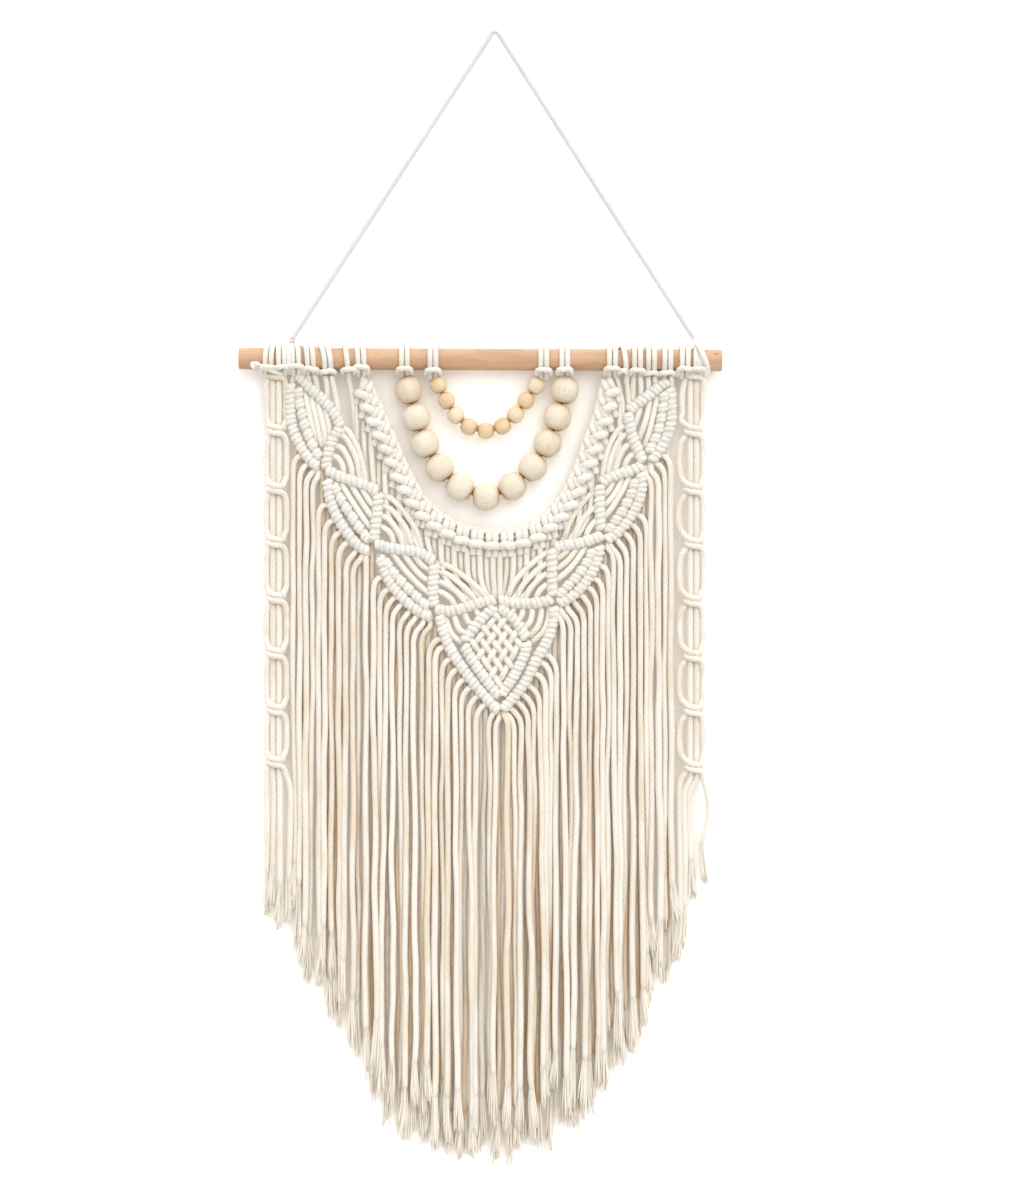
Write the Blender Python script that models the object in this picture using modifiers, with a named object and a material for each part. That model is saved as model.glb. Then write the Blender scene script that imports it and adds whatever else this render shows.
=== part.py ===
"""A macrame wall hanging on a wooden dowel.

A cotton cord carries a round dowel from one hook.  Cords are looped on the
dowel, and on a U-shaped neckline cord under it, and are knotted into a net of
leaf shapes with a diamond at the middle.  A square-knot chain hangs at each
side, a long fringe hangs from the net's lower edge, and two strings of wooden
beads hang inside the neckline.

Units are metres, +Z is up, +X is to the right seen from the front, and the
viewer is at -Y.  The origin is where the hanging cord rests on its hook.
"""
import math
from collections import namedtuple

import bpy
from mathutils import Vector

# ---------------------------------------------------------------- dimensions
UNIT = 0.00088          # the drawing's unit: its tables count squares of 0.88 mm
HANG_U, HANG_V = 495.0, 34.0    # the hook's place on the drawing (right, down)
GAP = 0.0003            # clearance between neighbouring pieces

CORD_D = 0.0050         # cotton cord
STRING_D = 0.0038       # cord inside the beads
DOWEL_D = 0.0190
DOWEL_CHAMFER = 0.0012
LOOP_WALL = 0.0046      # a cord looped round the dowel, pulled tight
BAND_W = 19.0           # neckline band, drawing units
BAND_T = 0.0100
NET_T = 0.0062
CHAIN_T = 0.0090
FRINGE_T = 0.0050
BEAD_BIG_D, BEAD_BIG_HOLE_D, BEAD_BIG_COUNT = 0.0243, 0.0100, 11
BEAD_SMALL_D, BEAD_SMALL_HOLE_D, BEAD_SMALL_COUNT = 0.0149, 0.0060, 9
STRAND_PITCH, STRAND_W = 6.55, 5.70     # fringe strands, drawing units
SEAM = 0.4              # gap between two parts of the net, drawing units

Point = namedtuple("Point", "u v")      # right and down on the drawing
Loop = namedtuple("Loop", "left right")             # along the dowel
Slit = namedtuple("Slit", "u0 v0 u1 v1 width")      # an opening in the net

# ------------------------------------------------------------------- tables
DOWEL_ENDS = (Point(239.0, 358.6), Point(722.0, 360.6))

LOOPS = [Loop(262.5, 275.4), Loop(276.0, 289.0), Loop(290.0, 302.0),
         Loop(303.0, 317.0), Loop(318.5, 333.0), Loop(342.0, 351.5),
         Loop(355.0, 368.0), Loop(397.0, 412.5), Loop(426.0, 440.5),
         Loop(536.0, 551.0), Loop(557.0, 572.0), Loop(606.0, 618.0),
         Loop(619.5, 629.0), Loop(631.0, 643.0), Loop(645.0, 657.5),
         Loop(661.0, 674.0), Loop(678.0, 691.0), Loop(691.6, 705.0)]

# the hanging cord, from its left tie over the hook to its right tie
HANGER = [Point(292.2, 338.6), Point(392.0, 186.5), Point(488.6, 38.6),
          Point(491.6, 33.2), Point(495.0, 31.1), Point(498.6, 33.4),
          Point(502.0, 38.9), Point(597.0, 187.5), Point(694.6, 338.9)]

# lines that the two bead strings hang in
STRING_BIG = [Point(405.0, 377.2), Point(408.5, 390.0), Point(415.8, 416.0),
              Point(424.2, 442.0), Point(438.5, 466.5), Point(460.0, 486.8),
              Point(485.5, 496.6), Point(511.8, 486.6), Point(533.0, 466.5),
              Point(548.0, 442.5), Point(557.6, 416.5), Point(564.6, 390.0),
              Point(566.0, 378.2)]
STRING_SMALL = [Point(434.6, 377.0), Point(438.3, 385.2), Point(446.0, 400.0),
                Point(454.8, 414.2), Point(467.0, 425.6), Point(484.4, 430.6),
                Point(501.6, 426.6), Point(515.4, 414.6), Point(526.0, 400.8),
                Point(535.8, 386.0), Point(540.0, 377.6)]

# inner edge of the neckline, left to right
NECKLINE = [Point(370.6, 377.2), Point(377.5, 395.0), Point(385.0, 412.0),
            Point(396.0, 437.0), Point(409.0, 467.0), Point(428.0, 499.5),
            Point(455.0, 520.5), Point(492.0, 530.0), Point(528.0, 525.0),
            Point(553.0, 504.0), Point(569.5, 477.0), Point(582.5, 443.0),
            Point(594.0, 411.0), Point(602.4, 377.6)]

# outer edges of the leaves, going down the left side, round the point at the
# middle and up the right side; the fringe hangs from this edge
EDGE_LEFT = [Point(287.8, 377.2), Point(287.8, 432.0), Point(294.0, 450.0),
             Point(303.0, 464.0), Point(313.0, 475.0), Point(322.0, 480.0),
             Point(322.6, 492.0), Point(328.0, 506.0), Point(339.0, 530.0),
             Point(350.0, 545.0), Point(362.0, 555.0), Point(373.0, 560.0),
             Point(378.0, 577.0), Point(387.0, 592.0), Point(399.0, 605.0),
             Point(412.0, 617.0), Point(424.0, 624.0), Point(430.0, 627.0)]
EDGE_POINT = [Point(433.6, 650.0), Point(449.0, 673.5), Point(469.0, 696.0),
              Point(489.0, 716.0), Point(499.6, 723.0), Point(509.6, 717.0),
              Point(523.0, 703.0), Point(541.0, 683.5), Point(556.0, 657.0),
              Point(562.4, 630.0), Point(562.0, 611.0)]
EDGE_RIGHT = [Point(572.0, 605.0), Point(588.0, 594.0), Point(600.0, 580.0),
              Point(604.0, 562.0), Point(606.0, 549.0), Point(614.0, 546.0),
              Point(625.0, 541.0), Point(635.0, 529.0), Point(645.0, 508.0),
              Point(650.0, 488.0), Point(652.0, 471.0), Point(666.0, 446.0),
              Point(673.0, 430.0), Point(677.0, 410.0), Point(677.2, 377.6)]

# seams where the leaf nets meet the middle net
SEAM_LEFT = [Point(438.5, 540.0), Point(438.5, 609.0), Point(432.0, 621.0)]
SEAM_RIGHT = [Point(546.0, 534.0), Point(546.0, 602.0), Point(558.0, 605.0)]

# the open gap between the first leaf and the neckline, at each side
NOTCH_LEFT = [Point(340.0, 377.2), Point(341.5, 428.0), Point(350.6, 428.0),
              Point(350.0, 377.2)]
NOTCH_RIGHT = [Point(623.5, 377.6), Point(623.0, 389.0), Point(628.5, 389.0),
               Point(629.5, 377.6)]

SLITS_LEFT = [Slit(304, 398, 309, 428, 3.0), Slit(311, 398, 320, 432, 2.6),
              Slit(320, 402, 327, 426, 2.6), Slit(341, 431, 352, 440, 2.6),
              Slit(340, 442, 350, 456, 2.8), Slit(337, 451, 347, 463, 2.8),
              Slit(346, 486, 369, 515, 2.6), Slit(344, 498, 367, 527, 2.4),
              Slit(357, 489, 371, 507, 2.6), Slit(384, 514, 397, 538, 3.0),
              Slit(384, 524, 392, 538, 2.6), Slit(399, 559, 426, 584, 2.6),
              Slit(410, 558, 426, 573, 2.6), Slit(410, 582, 428, 595, 2.4)]
SLITS_RIGHT = [Slit(652, 403, 641, 439, 2.6), Slit(644, 410, 637, 432, 2.6),
               Slit(660, 424, 651, 434, 2.4), Slit(621, 433, 612, 466, 2.4),
               Slit(626, 440, 619, 468, 3.0), Slit(632, 458, 628, 466, 3.4),
               Slit(614, 487, 605, 505, 2.6), Slit(620, 483, 606, 514, 2.6),
               Slit(629, 487, 608, 521, 2.4), Slit(584, 511, 572, 536, 2.8),
               Slit(590, 522, 583, 535, 2.8), Slit(596, 530, 592, 536, 2.6),
               Slit(560, 560, 584, 580, 2.4), Slit(566, 555, 590, 566, 2.4)]
SLITS_POINT = [Slit(446, 578, 465, 597, 2.4), Slit(445, 588, 457, 599, 2.6),
               Slit(534, 571, 519, 593, 2.6), Slit(543, 580, 529, 595, 2.6),
               Slit(456, 617, 460, 632, 2.6), Slit(466, 615, 470, 626, 2.6),
               Slit(523, 612, 520, 626, 2.6), Slit(533, 612, 527, 630, 2.6)]

# square knots of the side chains, top to bottom
KNOTS_LEFT = [375.0, 431.0, 489.0, 543.0, 598.0, 654.0, 709.0, 762.0]
KNOTS_RIGHT = [375.0, 432.0, 489.0, 543.0, 601.0, 656.0, 711.0, 767.0]

# lower ends of the fringe, left to right
TIPS = [Point(263, 915), Point(286, 946), Point(297, 972), Point(311, 984),
        Point(316, 1019), Point(336, 1030), Point(351, 1048), Point(380, 1111),
        Point(398, 1137), Point(416, 1154), Point(448, 1162), Point(480, 1164),
        Point(505, 1172), Point(518, 1162), Point(544, 1155), Point(567, 1134),
        Point(594, 1112), Point(611, 1076), Point(633, 1059), Point(647, 1016),
        Point(654, 991), Point(665, 980), Point(686, 966), Point(706, 890)]

COTTON = dict(color=(0.86, 0.80, 0.70), roughness=0.95)
COTTON_LIGHT = dict(color=(0.90, 0.86, 0.80), roughness=0.95)
PALE_WOOD = dict(color=(0.84, 0.68, 0.48), roughness=0.55)
HONEY_WOOD = dict(color=(0.80, 0.58, 0.34), roughness=0.50)
DOWEL_WOOD = dict(color=(0.74, 0.46, 0.27), roughness=0.55)


# ------------------------------------------------------------------ helpers
def world(point, depth=0.0):
    """The drawing's point, in metres from the hook."""
    return Vector(((point.u - HANG_U) * UNIT, depth, (HANG_V - point.v) * UNIT))


def smooth(points, step):
    """A curve through the points, cut into even steps (drawing units)."""
    pts = [Vector((p.u, p.v)) for p in points]
    pts = [2 * pts[0] - pts[1]] + pts + [2 * pts[-1] - pts[-2]]
    fine = []
    for a, b, c, d in zip(pts, pts[1:], pts[2:], pts[3:]):
        t1 = (b - a).length ** 0.5
        t2 = t1 + (c - b).length ** 0.5
        t3 = t2 + (d - c).length ** 0.5
        for i in range(24):
            t = t1 + (t2 - t1) * i / 24
            p = (t1 - t) / t1 * a + t / t1 * b
            q = (t2 - t) / (t2 - t1) * b + (t - t1) / (t2 - t1) * c
            r = (t3 - t) / (t3 - t2) * c + (t - t2) / (t3 - t2) * d
            p = (t2 - t) / t2 * p + t / t2 * q
            q = (t3 - t) / (t3 - t1) * q + (t - t1) / (t3 - t1) * r
            fine.append((t2 - t) / (t2 - t1) * p + (t - t1) / (t2 - t1) * q)
    fine.append(pts[-2])
    total = sum((b - a).length for a, b in zip(fine, fine[1:]))
    count = max(2, round(total / step))
    out, done, want = [fine[0]], 0.0, total / count
    for a, b in zip(fine, fine[1:]):
        leg = (b - a).length
        while done + leg >= want * len(out) and len(out) < count:
            out.append(a.lerp(b, (want * len(out) - done) / leg))
        done += leg
    out.append(fine[-1])
    return [Point(p.x, p.y) for p in out]


def shifted(line, distance):
    """The line moved sideways: positive is to its right on the drawing."""
    pts = [Vector((p.u, p.v)) for p in line]
    out = []
    for i, p in enumerate(pts):
        legs = [(pts[j + 1] - pts[j]).normalized()
                for j in (i - 1, i) if 0 <= j < len(pts) - 1]
        normals = [Vector((-leg.y, leg.x)) for leg in legs]
        middle = sum(normals, Vector((0.0, 0.0))).normalized()
        stretch = max(0.5, middle.dot(normals[0]))
        q = p + middle * (distance / stretch)
        out.append(Point(q.x, q.y))
    return out


def height_at(line, u):
    """The largest v that the line has at u."""
    found = [a.v + (b.v - a.v) * (u - a.u) / (b.u - a.u)
             for a, b in zip(line, line[1:])
             if min(a.u, b.u) <= u <= max(a.u, b.u) and a.u != b.u]
    return max(found)


def between(line, low, high):
    """The part of a left-to-right line from u = low to u = high."""
    inner = [p for p in line if low < p.u < high]
    return ([Point(low, height_at(line, low))] + inner
            + [Point(high, height_at(line, high))])


def lens(slit):
    """A pointed oval about the slit's line."""
    a, b = Vector((slit.u0, slit.v0)), Vector((slit.u1, slit.v1))
    along = (b - a).normalized()
    side = Vector((-along.y, along.x)) * slit.width / 2
    ring = [a, a.lerp(b, 0.25) + side * 0.85, a.lerp(b, 0.7) + side, b,
            a.lerp(b, 0.7) - side, a.lerp(b, 0.25) - side * 0.85]
    return [Point(p.x, p.y) for p in ring]


def material(name, look):
    mat = bpy.data.materials.new(name)
    mat.use_nodes = True
    shader = mat.node_tree.nodes["Principled BSDF"]
    shader.inputs["Base Color"].default_value = (*look["color"], 1.0)
    shader.inputs["Roughness"].default_value = look["roughness"]
    shader.inputs["Metallic"].default_value = 0.0
    return mat


def add(name, data, look):
    obj = bpy.data.objects.new(name, data)
    data.materials.append(material(name, look))
    HANGING.objects.link(obj)
    return obj


def flat_piece(name, outline, holes, thickness, look):
    """A flat net, band or comb: its outline and holes, given a thickness."""
    curve = bpy.data.curves.new(name, "CURVE")
    curve.dimensions = "2D"
    curve.fill_mode = "BOTH"
    curve.extrude = thickness / 2
    for ring in [outline] + holes:
        spline = curve.splines.new("POLY")
        spline.points.add(len(ring) - 1)
        for knot, p in zip(spline.points, ring):
            place = world(p)
            knot.co = (place.x, place.z, 0.0, 1.0)
        spline.use_cyclic_u = True
    obj = add(name, curve, look)
    obj.rotation_euler = (math.pi / 2, 0.0, 0.0)
    return obj


def cord(name, line, diameter, look, depth=0.0):
    """A round cord along a line of the drawing."""
    curve = bpy.data.curves.new(name, "CURVE")
    curve.dimensions = "3D"
    curve.bevel_depth = diameter / 2
    curve.bevel_resolution = 2
    curve.use_fill_caps = True
    spline = curve.splines.new("POLY")
    spline.points.add(len(line) - 1)
    for knot, p in zip(spline.points, line):
        knot.co = (*world(p, depth), 1.0)
    return add(name, curve, look)


def turned(name, profile, steps, look):
    """A profile of (radius, height) pairs turned about Z, top to bottom."""
    mesh = bpy.data.meshes.new(name)
    points = [(r, 0.0, z) for r, z in profile]
    edges = [(i, (i + 1) % len(points)) for i in range(len(points))]
    mesh.from_pydata(points, edges, [])
    obj = add(name, mesh, look)
    screw = obj.modifiers.new("turn", "SCREW")
    screw.steps = screw.render_steps = steps
    screw.use_merge_vertices = True
    screw.merge_threshold = 0.00005
    screw.use_smooth_shade = True
    return obj


def aim(obj, place, direction):
    """Put a turned piece at a place, its Z axis along a direction."""
    obj.location = place
    obj.rotation_mode = "QUATERNION"
    obj.rotation_quaternion = direction.to_track_quat("Z", "Y")


# ------------------------------------------------------------------- pieces
def build_dowel():
    a, b = world(DOWEL_ENDS[0]), world(DOWEL_ENDS[1])
    length = (b - a).length
    bpy.ops.mesh.primitive_cylinder_add(vertices=32, radius=DOWEL_D / 2,
                                        depth=length)
    obj = bpy.context.object
    obj.name = obj.data.name = "dowel"
    for group in list(obj.users_collection):
        group.objects.unlink(obj)
    HANGING.objects.link(obj)
    obj.data.materials.append(material("dowel", DOWEL_WOOD))
    obj.data.shade_smooth()
    bevel = obj.modifiers.new("rounded ends", "BEVEL")
    bevel.width = DOWEL_CHAMFER
    bevel.segments = 2
    bevel.limit_method = "ANGLE"
    bevel.angle_limit = math.radians(50)
    aim(obj, (a + b) / 2, b - a)


def build_loops():
    """Cords looped round the dowel, side by side in each group."""
    a, b = DOWEL_ENDS
    axis = (world(b) - world(a)).normalized()
    inner = DOWEL_D / 2 + GAP
    outer = inner + LOOP_WALL
    for number, loop in enumerate(LOOPS, 1):
        middle = (loop.left + loop.right) / 2
        half = (loop.right - loop.left) / 2 * UNIT
        soft = min(0.0016, half * 0.35)
        profile = [(inner, half - soft / 2), (outer - soft, half),
                   (outer, half - soft), (outer, soft - half),
                   (outer - soft, -half), (inner, soft / 2 - half)]
        obj = turned(f"dowel_loop_{number:02d}", profile, 18, COTTON)
        v = a.v + (b.v - a.v) * (middle - a.u) / (b.u - a.u)
        aim(obj, world(Point(middle, v)), axis)


def bead_places(line, count):
    """Even places along a string, from its second point to the last but one."""
    fine = [Vector((p.u, p.v)) for p in smooth(line, 0.5)]
    first = Vector((line[1].u, line[1].v))
    last = Vector((line[-2].u, line[-2].v))
    start = min(range(len(fine)), key=lambda i: (fine[i] - first).length)

    def walk(chord):
        places, i = [start], start
        while len(places) < count and i < len(fine) - 1:
            while i < len(fine) - 1 and (fine[i] - fine[places[-1]]).length < chord:
                i += 1
            places.append(i)
        return places

    low, high = 5.0, 60.0
    for _ in range(40):
        middle = (low + high) / 2
        places = walk(middle)
        end = fine[places[-1]]
        short = (len(places) == count and places[-1] < len(fine) - 1
                 and (end.x < last.x))
        low, high = (middle, high) if short else (low, middle)
    rows = []
    for i in walk(low):
        ahead = fine[min(i + 8, len(fine) - 1)] - fine[max(i - 8, 0)]
        rows.append((fine[i], ahead.normalized()))
    return rows


def build_beads(prefix, line, count, diameter, hole, look):
    """Round beads, their holes along the string."""
    radius, bore = diameter / 2, hole / 2
    reach = math.acos(bore / radius)
    steps = 8
    profile = [(radius * math.cos(reach - 2 * reach * i / steps),
                radius * math.sin(reach - 2 * reach * i / steps))
               for i in range(steps + 1)]
    for number, (place, ahead) in enumerate(bead_places(line, count), 1):
        obj = turned(f"{prefix}_{number:02d}", profile, 14, look)
        aim(obj, world(Point(place.x, place.y)),
            Vector((ahead.x, 0.0, -ahead.y)))


def chain_outline(middle, knots, left_w, right_w, bow_left, bow_right, ends):
    """A side chain: straight at its knots, bowed between them, and ending in
    loose strands, each given as (left edge, right edge, lower end)."""
    left, right, holes = [], [], []
    for top, bottom in zip(knots, knots[1:]):
        slack = 0.0 if top == knots[0] else 1.0     # the first stretch is taut
        for i in range(6):
            t = i / 6
            v = top + (bottom - top) * t
            swell = slack * math.sin(math.pi * t)
            left.append(Point(middle - left_w - bow_left * swell, v))
            right.append(Point(middle + right_w + bow_right * swell, v))
        holes.append(lens(Slit(middle + 8.4, top + 11, middle + 8.4, bottom - 9, 2.4)))
        holes.append(lens(Slit(middle - 7.2, top + 13, middle - 7.2, bottom - 11, 1.8)))
    left[0] = Point(left[0].u, knots[0] + 2.2)
    right[0] = Point(right[0].u, knots[0] + 2.2)
    last = knots[-1]
    left.append(Point(middle - left_w, last))
    right.append(Point(middle + right_w, last))
    outline = left[:]
    for number, (a, b, low) in enumerate(ends):
        if number:
            outline += [Point(ends[number - 1][1], last + 16), Point(a, last + 16)]
        outline += [Point(a, low - 3), Point((a + b) / 2, low), Point(b, low - 3)]
    outline += right[::-1]
    return outline, holes


def build_chains():
    ends = [(264.2, 269.8, 898.0), (270.6, 276.2, 905.0),
            (277.0, 282.6, 918.0), (283.4, 288.6, 911.0)]
    outline, holes = chain_outline(276.2, KNOTS_LEFT, 12.0, 11.0, 0.4, 2.6, ends)
    flat_piece("side_chain_left", outline, holes, CHAIN_T, COTTON)
    ends = [(680.4, 686.0, 958.0), (686.8, 692.4, 946.0),
            (693.2, 698.8, 893.0), (699.6, 705.2, 884.0)]
    outline, holes = chain_outline(692.0, KNOTS_RIGHT, 12.4, 13.0, 1.2, 1.0, ends)
    flat_piece("side_chain_right", outline, holes, CHAIN_T, COTTON)


def build_net():
    neck = smooth(NECKLINE, 9.0)
    flat_piece("neckline_band", neck + shifted(neck, BAND_W)[::-1], [],
               BAND_T, COTTON)
    under = shifted(neck, BAND_W + SEAM)

    def cut(line, distance):
        return shifted(line, distance)

    # left leaves: from the first leaf's top, round the gap, along the band
    seam = cut(SEAM_LEFT, SEAM / 2)
    band = [p for p in under if p.u < seam[0].u - 2]
    band.append(Point(seam[0].u, height_at(under, seam[0].u)))
    outline = ([EDGE_LEFT[0]] + NOTCH_LEFT + band + seam[1:]
               + EDGE_LEFT[1:][::-1])
    flat_piece("net_left", outline, [lens(s) for s in SLITS_LEFT], NET_T, COTTON)

    # right leaves
    seam = cut(SEAM_RIGHT, -SEAM / 2)
    band = [p for p in under if p.u > seam[0].u + 2]
    band.insert(0, Point(seam[0].u, height_at(under, seam[0].u)))
    outline = (band + NOTCH_RIGHT + [EDGE_RIGHT[-1]]
               + EDGE_RIGHT[:-1][::-1] + [Point(562.2, 608.6)] + seam[1:][::-1])
    flat_piece("net_right", outline, [lens(s) for s in SLITS_RIGHT], NET_T, COTTON)

    # middle net with the diamond
    west = cut(SEAM_LEFT, -SEAM / 2)
    east = cut(SEAM_RIGHT, SEAM / 2)
    band = between(under, west[0].u, east[0].u)
    outline = band + east[1:] + EDGE_POINT[::-1] + [Point(430.4, 627.4)] \
        + west[1:][::-1]
    flat_piece("net_middle", outline, [lens(s) for s in SLITS_POINT], NET_T, COTTON)


def build_fringe():
    """One comb along the net's lower edge, a tooth for each strand."""
    edge = EDGE_LEFT + EDGE_POINT + [Point(562.2, 609.4)] + EDGE_RIGHT
    top = shifted(edge, SEAM)
    first, last = 290.9, 676.4
    count = int((last - first - STRAND_W) / STRAND_PITCH) + 1
    pitch = (last - first - STRAND_W) / (count - 1)
    inner = [p for p in top if first < p.u < last and p.v > 400.0]
    outline = [Point(first, height_at(top, first))] + inner \
        + [Point(last, height_at(top[len(top) // 2:], last))]
    for i in range(count - 1, -1, -1):
        left = first + pitch * i
        right = left + STRAND_W
        low = height_at(TIPS, (left + right) / 2) - 9.0 * (0.5 + 0.5 * math.sin(i * 2.4))
        outline += [Point(right, low - 3), Point((left + right) / 2, low),
                    Point(left, low - 3)]
        if i:
            before = right - pitch
            root = max(height_at(top, x) for x in (before, (left + before) / 2, left)) + 8.0
            outline += [Point(left, root), Point(before, root)]
    flat_piece("fringe", outline, [], FRINGE_T, COTTON)


def build_cords():
    hanger = smooth(HANGER[:3], 22.0)[:-1] + smooth(HANGER[2:7], 2.4)[:-1] \
        + smooth(HANGER[6:], 22.0)
    cord("hanger_cord", hanger, CORD_D, COTTON_LIGHT)
    cord("bead_string_large", smooth(STRING_BIG, 9.0), STRING_D, COTTON)
    cord("bead_string_small", smooth(STRING_SMALL, 7.0), STRING_D, COTTON)


for old in list(bpy.data.objects):
    bpy.data.objects.remove(old, do_unlink=True)
HANGING = bpy.data.collections.new("macrame_wall_hanging")
bpy.context.scene.collection.children.link(HANGING)

build_dowel()
build_loops()
build_cords()
build_beads("bead_large", STRING_BIG, BEAD_BIG_COUNT, BEAD_BIG_D,
            BEAD_BIG_HOLE_D, PALE_WOOD)
build_beads("bead_small", STRING_SMALL, BEAD_SMALL_COUNT, BEAD_SMALL_D,
            BEAD_SMALL_HOLE_D, HONEY_WOOD)
build_chains()
build_net()
build_fringe()
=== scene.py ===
"""Looks for the macrame wall hanging: every cord, knot, bead and frayed end.

Drawing units are squares of 0.88 mm, as in the construction: u runs right,
v runs down and w comes out towards the viewer, all from the same corner.
"""

import math
from collections import namedtuple

import bpy
import numpy as np
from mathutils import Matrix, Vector


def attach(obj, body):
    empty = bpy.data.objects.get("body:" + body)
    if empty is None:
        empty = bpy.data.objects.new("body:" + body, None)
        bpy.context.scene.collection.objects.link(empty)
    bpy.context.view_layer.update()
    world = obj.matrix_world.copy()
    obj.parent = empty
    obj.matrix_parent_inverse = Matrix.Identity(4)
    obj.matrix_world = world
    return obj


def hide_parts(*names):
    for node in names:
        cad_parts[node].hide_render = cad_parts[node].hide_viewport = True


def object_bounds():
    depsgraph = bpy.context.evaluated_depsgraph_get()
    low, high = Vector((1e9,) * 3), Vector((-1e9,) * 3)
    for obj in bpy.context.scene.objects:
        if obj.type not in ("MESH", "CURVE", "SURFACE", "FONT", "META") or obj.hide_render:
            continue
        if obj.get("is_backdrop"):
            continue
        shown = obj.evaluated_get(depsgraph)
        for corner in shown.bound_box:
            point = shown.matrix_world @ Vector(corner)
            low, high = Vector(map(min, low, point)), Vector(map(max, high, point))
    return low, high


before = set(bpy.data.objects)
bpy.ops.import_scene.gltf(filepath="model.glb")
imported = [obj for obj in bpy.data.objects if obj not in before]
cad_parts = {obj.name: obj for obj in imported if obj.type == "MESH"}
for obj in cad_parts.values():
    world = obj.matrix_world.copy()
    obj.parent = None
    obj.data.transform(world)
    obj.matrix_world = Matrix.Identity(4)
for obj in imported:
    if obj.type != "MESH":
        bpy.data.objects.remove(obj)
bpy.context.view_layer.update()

# ---------------------------------------------------------------- dimensions
UNIT = 0.00088
HANG_U, HANG_V = 495.0, 34.0
CORD_R = 2.84           # 5 mm cord
STRING_R = 2.16         # 3.8 mm cord inside the beads
LAY = 17.0              # one full turn of the cord's three plies
DOWEL_R = 10.8
BEAD_BIG_D, BEAD_BIG_HOLE, BEAD_BIG_COUNT = 28.2, 11.36, 11
BEAD_SMALL_D, BEAD_SMALL_HOLE, BEAD_SMALL_COUNT = 16.93, 6.82, 9

rng = np.random.default_rng(20)

# ------------------------------------------------------------------- tables
DOWEL_ENDS = ((239.0, 358.6), (722.0, 360.6))

# lark's head knots on the dowel: middle, lean of the two legs at the top,
# and how low the bar sits
Head = namedtuple("Head", "u lean bar half")
HEADS = [Head(269.0, 3.0, 9.0, 2.9), Head(282.5, -1.5, 9.0, 2.9),
         Head(296.6, -2.5, 8.0, 2.9), Head(311.2, -4.0, 10.5, 2.9),
         Head(328.4, -7.5, 12.6, 2.9), Head(361.6, -3.0, 8.6, 2.9),
         Head(404.8, 0.0, 10.0, 2.8), Head(433.2, 0.0, 11.0, 2.8),
         Head(543.6, 0.5, 10.5, 2.8), Head(564.6, 0.0, 10.0, 2.8),
         Head(612.0, 0.5, 9.0, 2.9), Head(637.0, 0.0, 10.5, 2.9),
         Head(651.0, 0.0, 13.0, 2.9), Head(667.2, 0.5, 12.6, 2.9),
         Head(684.5, 1.0, 9.0, 2.9), Head(698.0, 1.5, 9.0, 2.9)]

HANGER = [(292.2, 338.6), (392.0, 186.5), (488.6, 38.6), (491.6, 33.2),
          (495.0, 31.1), (498.6, 33.4), (502.0, 38.9), (597.0, 187.5),
          (694.6, 338.9)]
STRING_BIG = [(405.0, 377.2), (408.5, 390.0), (415.8, 416.0), (424.2, 442.0),
              (438.5, 466.5), (460.0, 486.8), (485.5, 496.6), (511.8, 486.6),
              (533.0, 466.5), (548.0, 442.5), (557.6, 416.5), (564.6, 390.0),
              (566.0, 378.2)]
STRING_SMALL = [(434.6, 377.0), (438.3, 385.2), (446.0, 400.0), (454.8, 414.2),
                (467.0, 425.6), (484.4, 430.6), (501.6, 426.6), (515.4, 414.6),
                (526.0, 400.8), (535.8, 386.0), (540.0, 377.6)]
NECKLINE = [(370.6, 377.2), (377.5, 395.0), (385.0, 412.0), (396.0, 437.0),
            (409.0, 467.0), (428.0, 499.5), (455.0, 520.5), (492.0, 530.0),
            (528.0, 525.0), (553.0, 504.0), (569.5, 477.0), (582.5, 443.0),
            (594.0, 411.0), (602.4, 377.6)]

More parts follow.
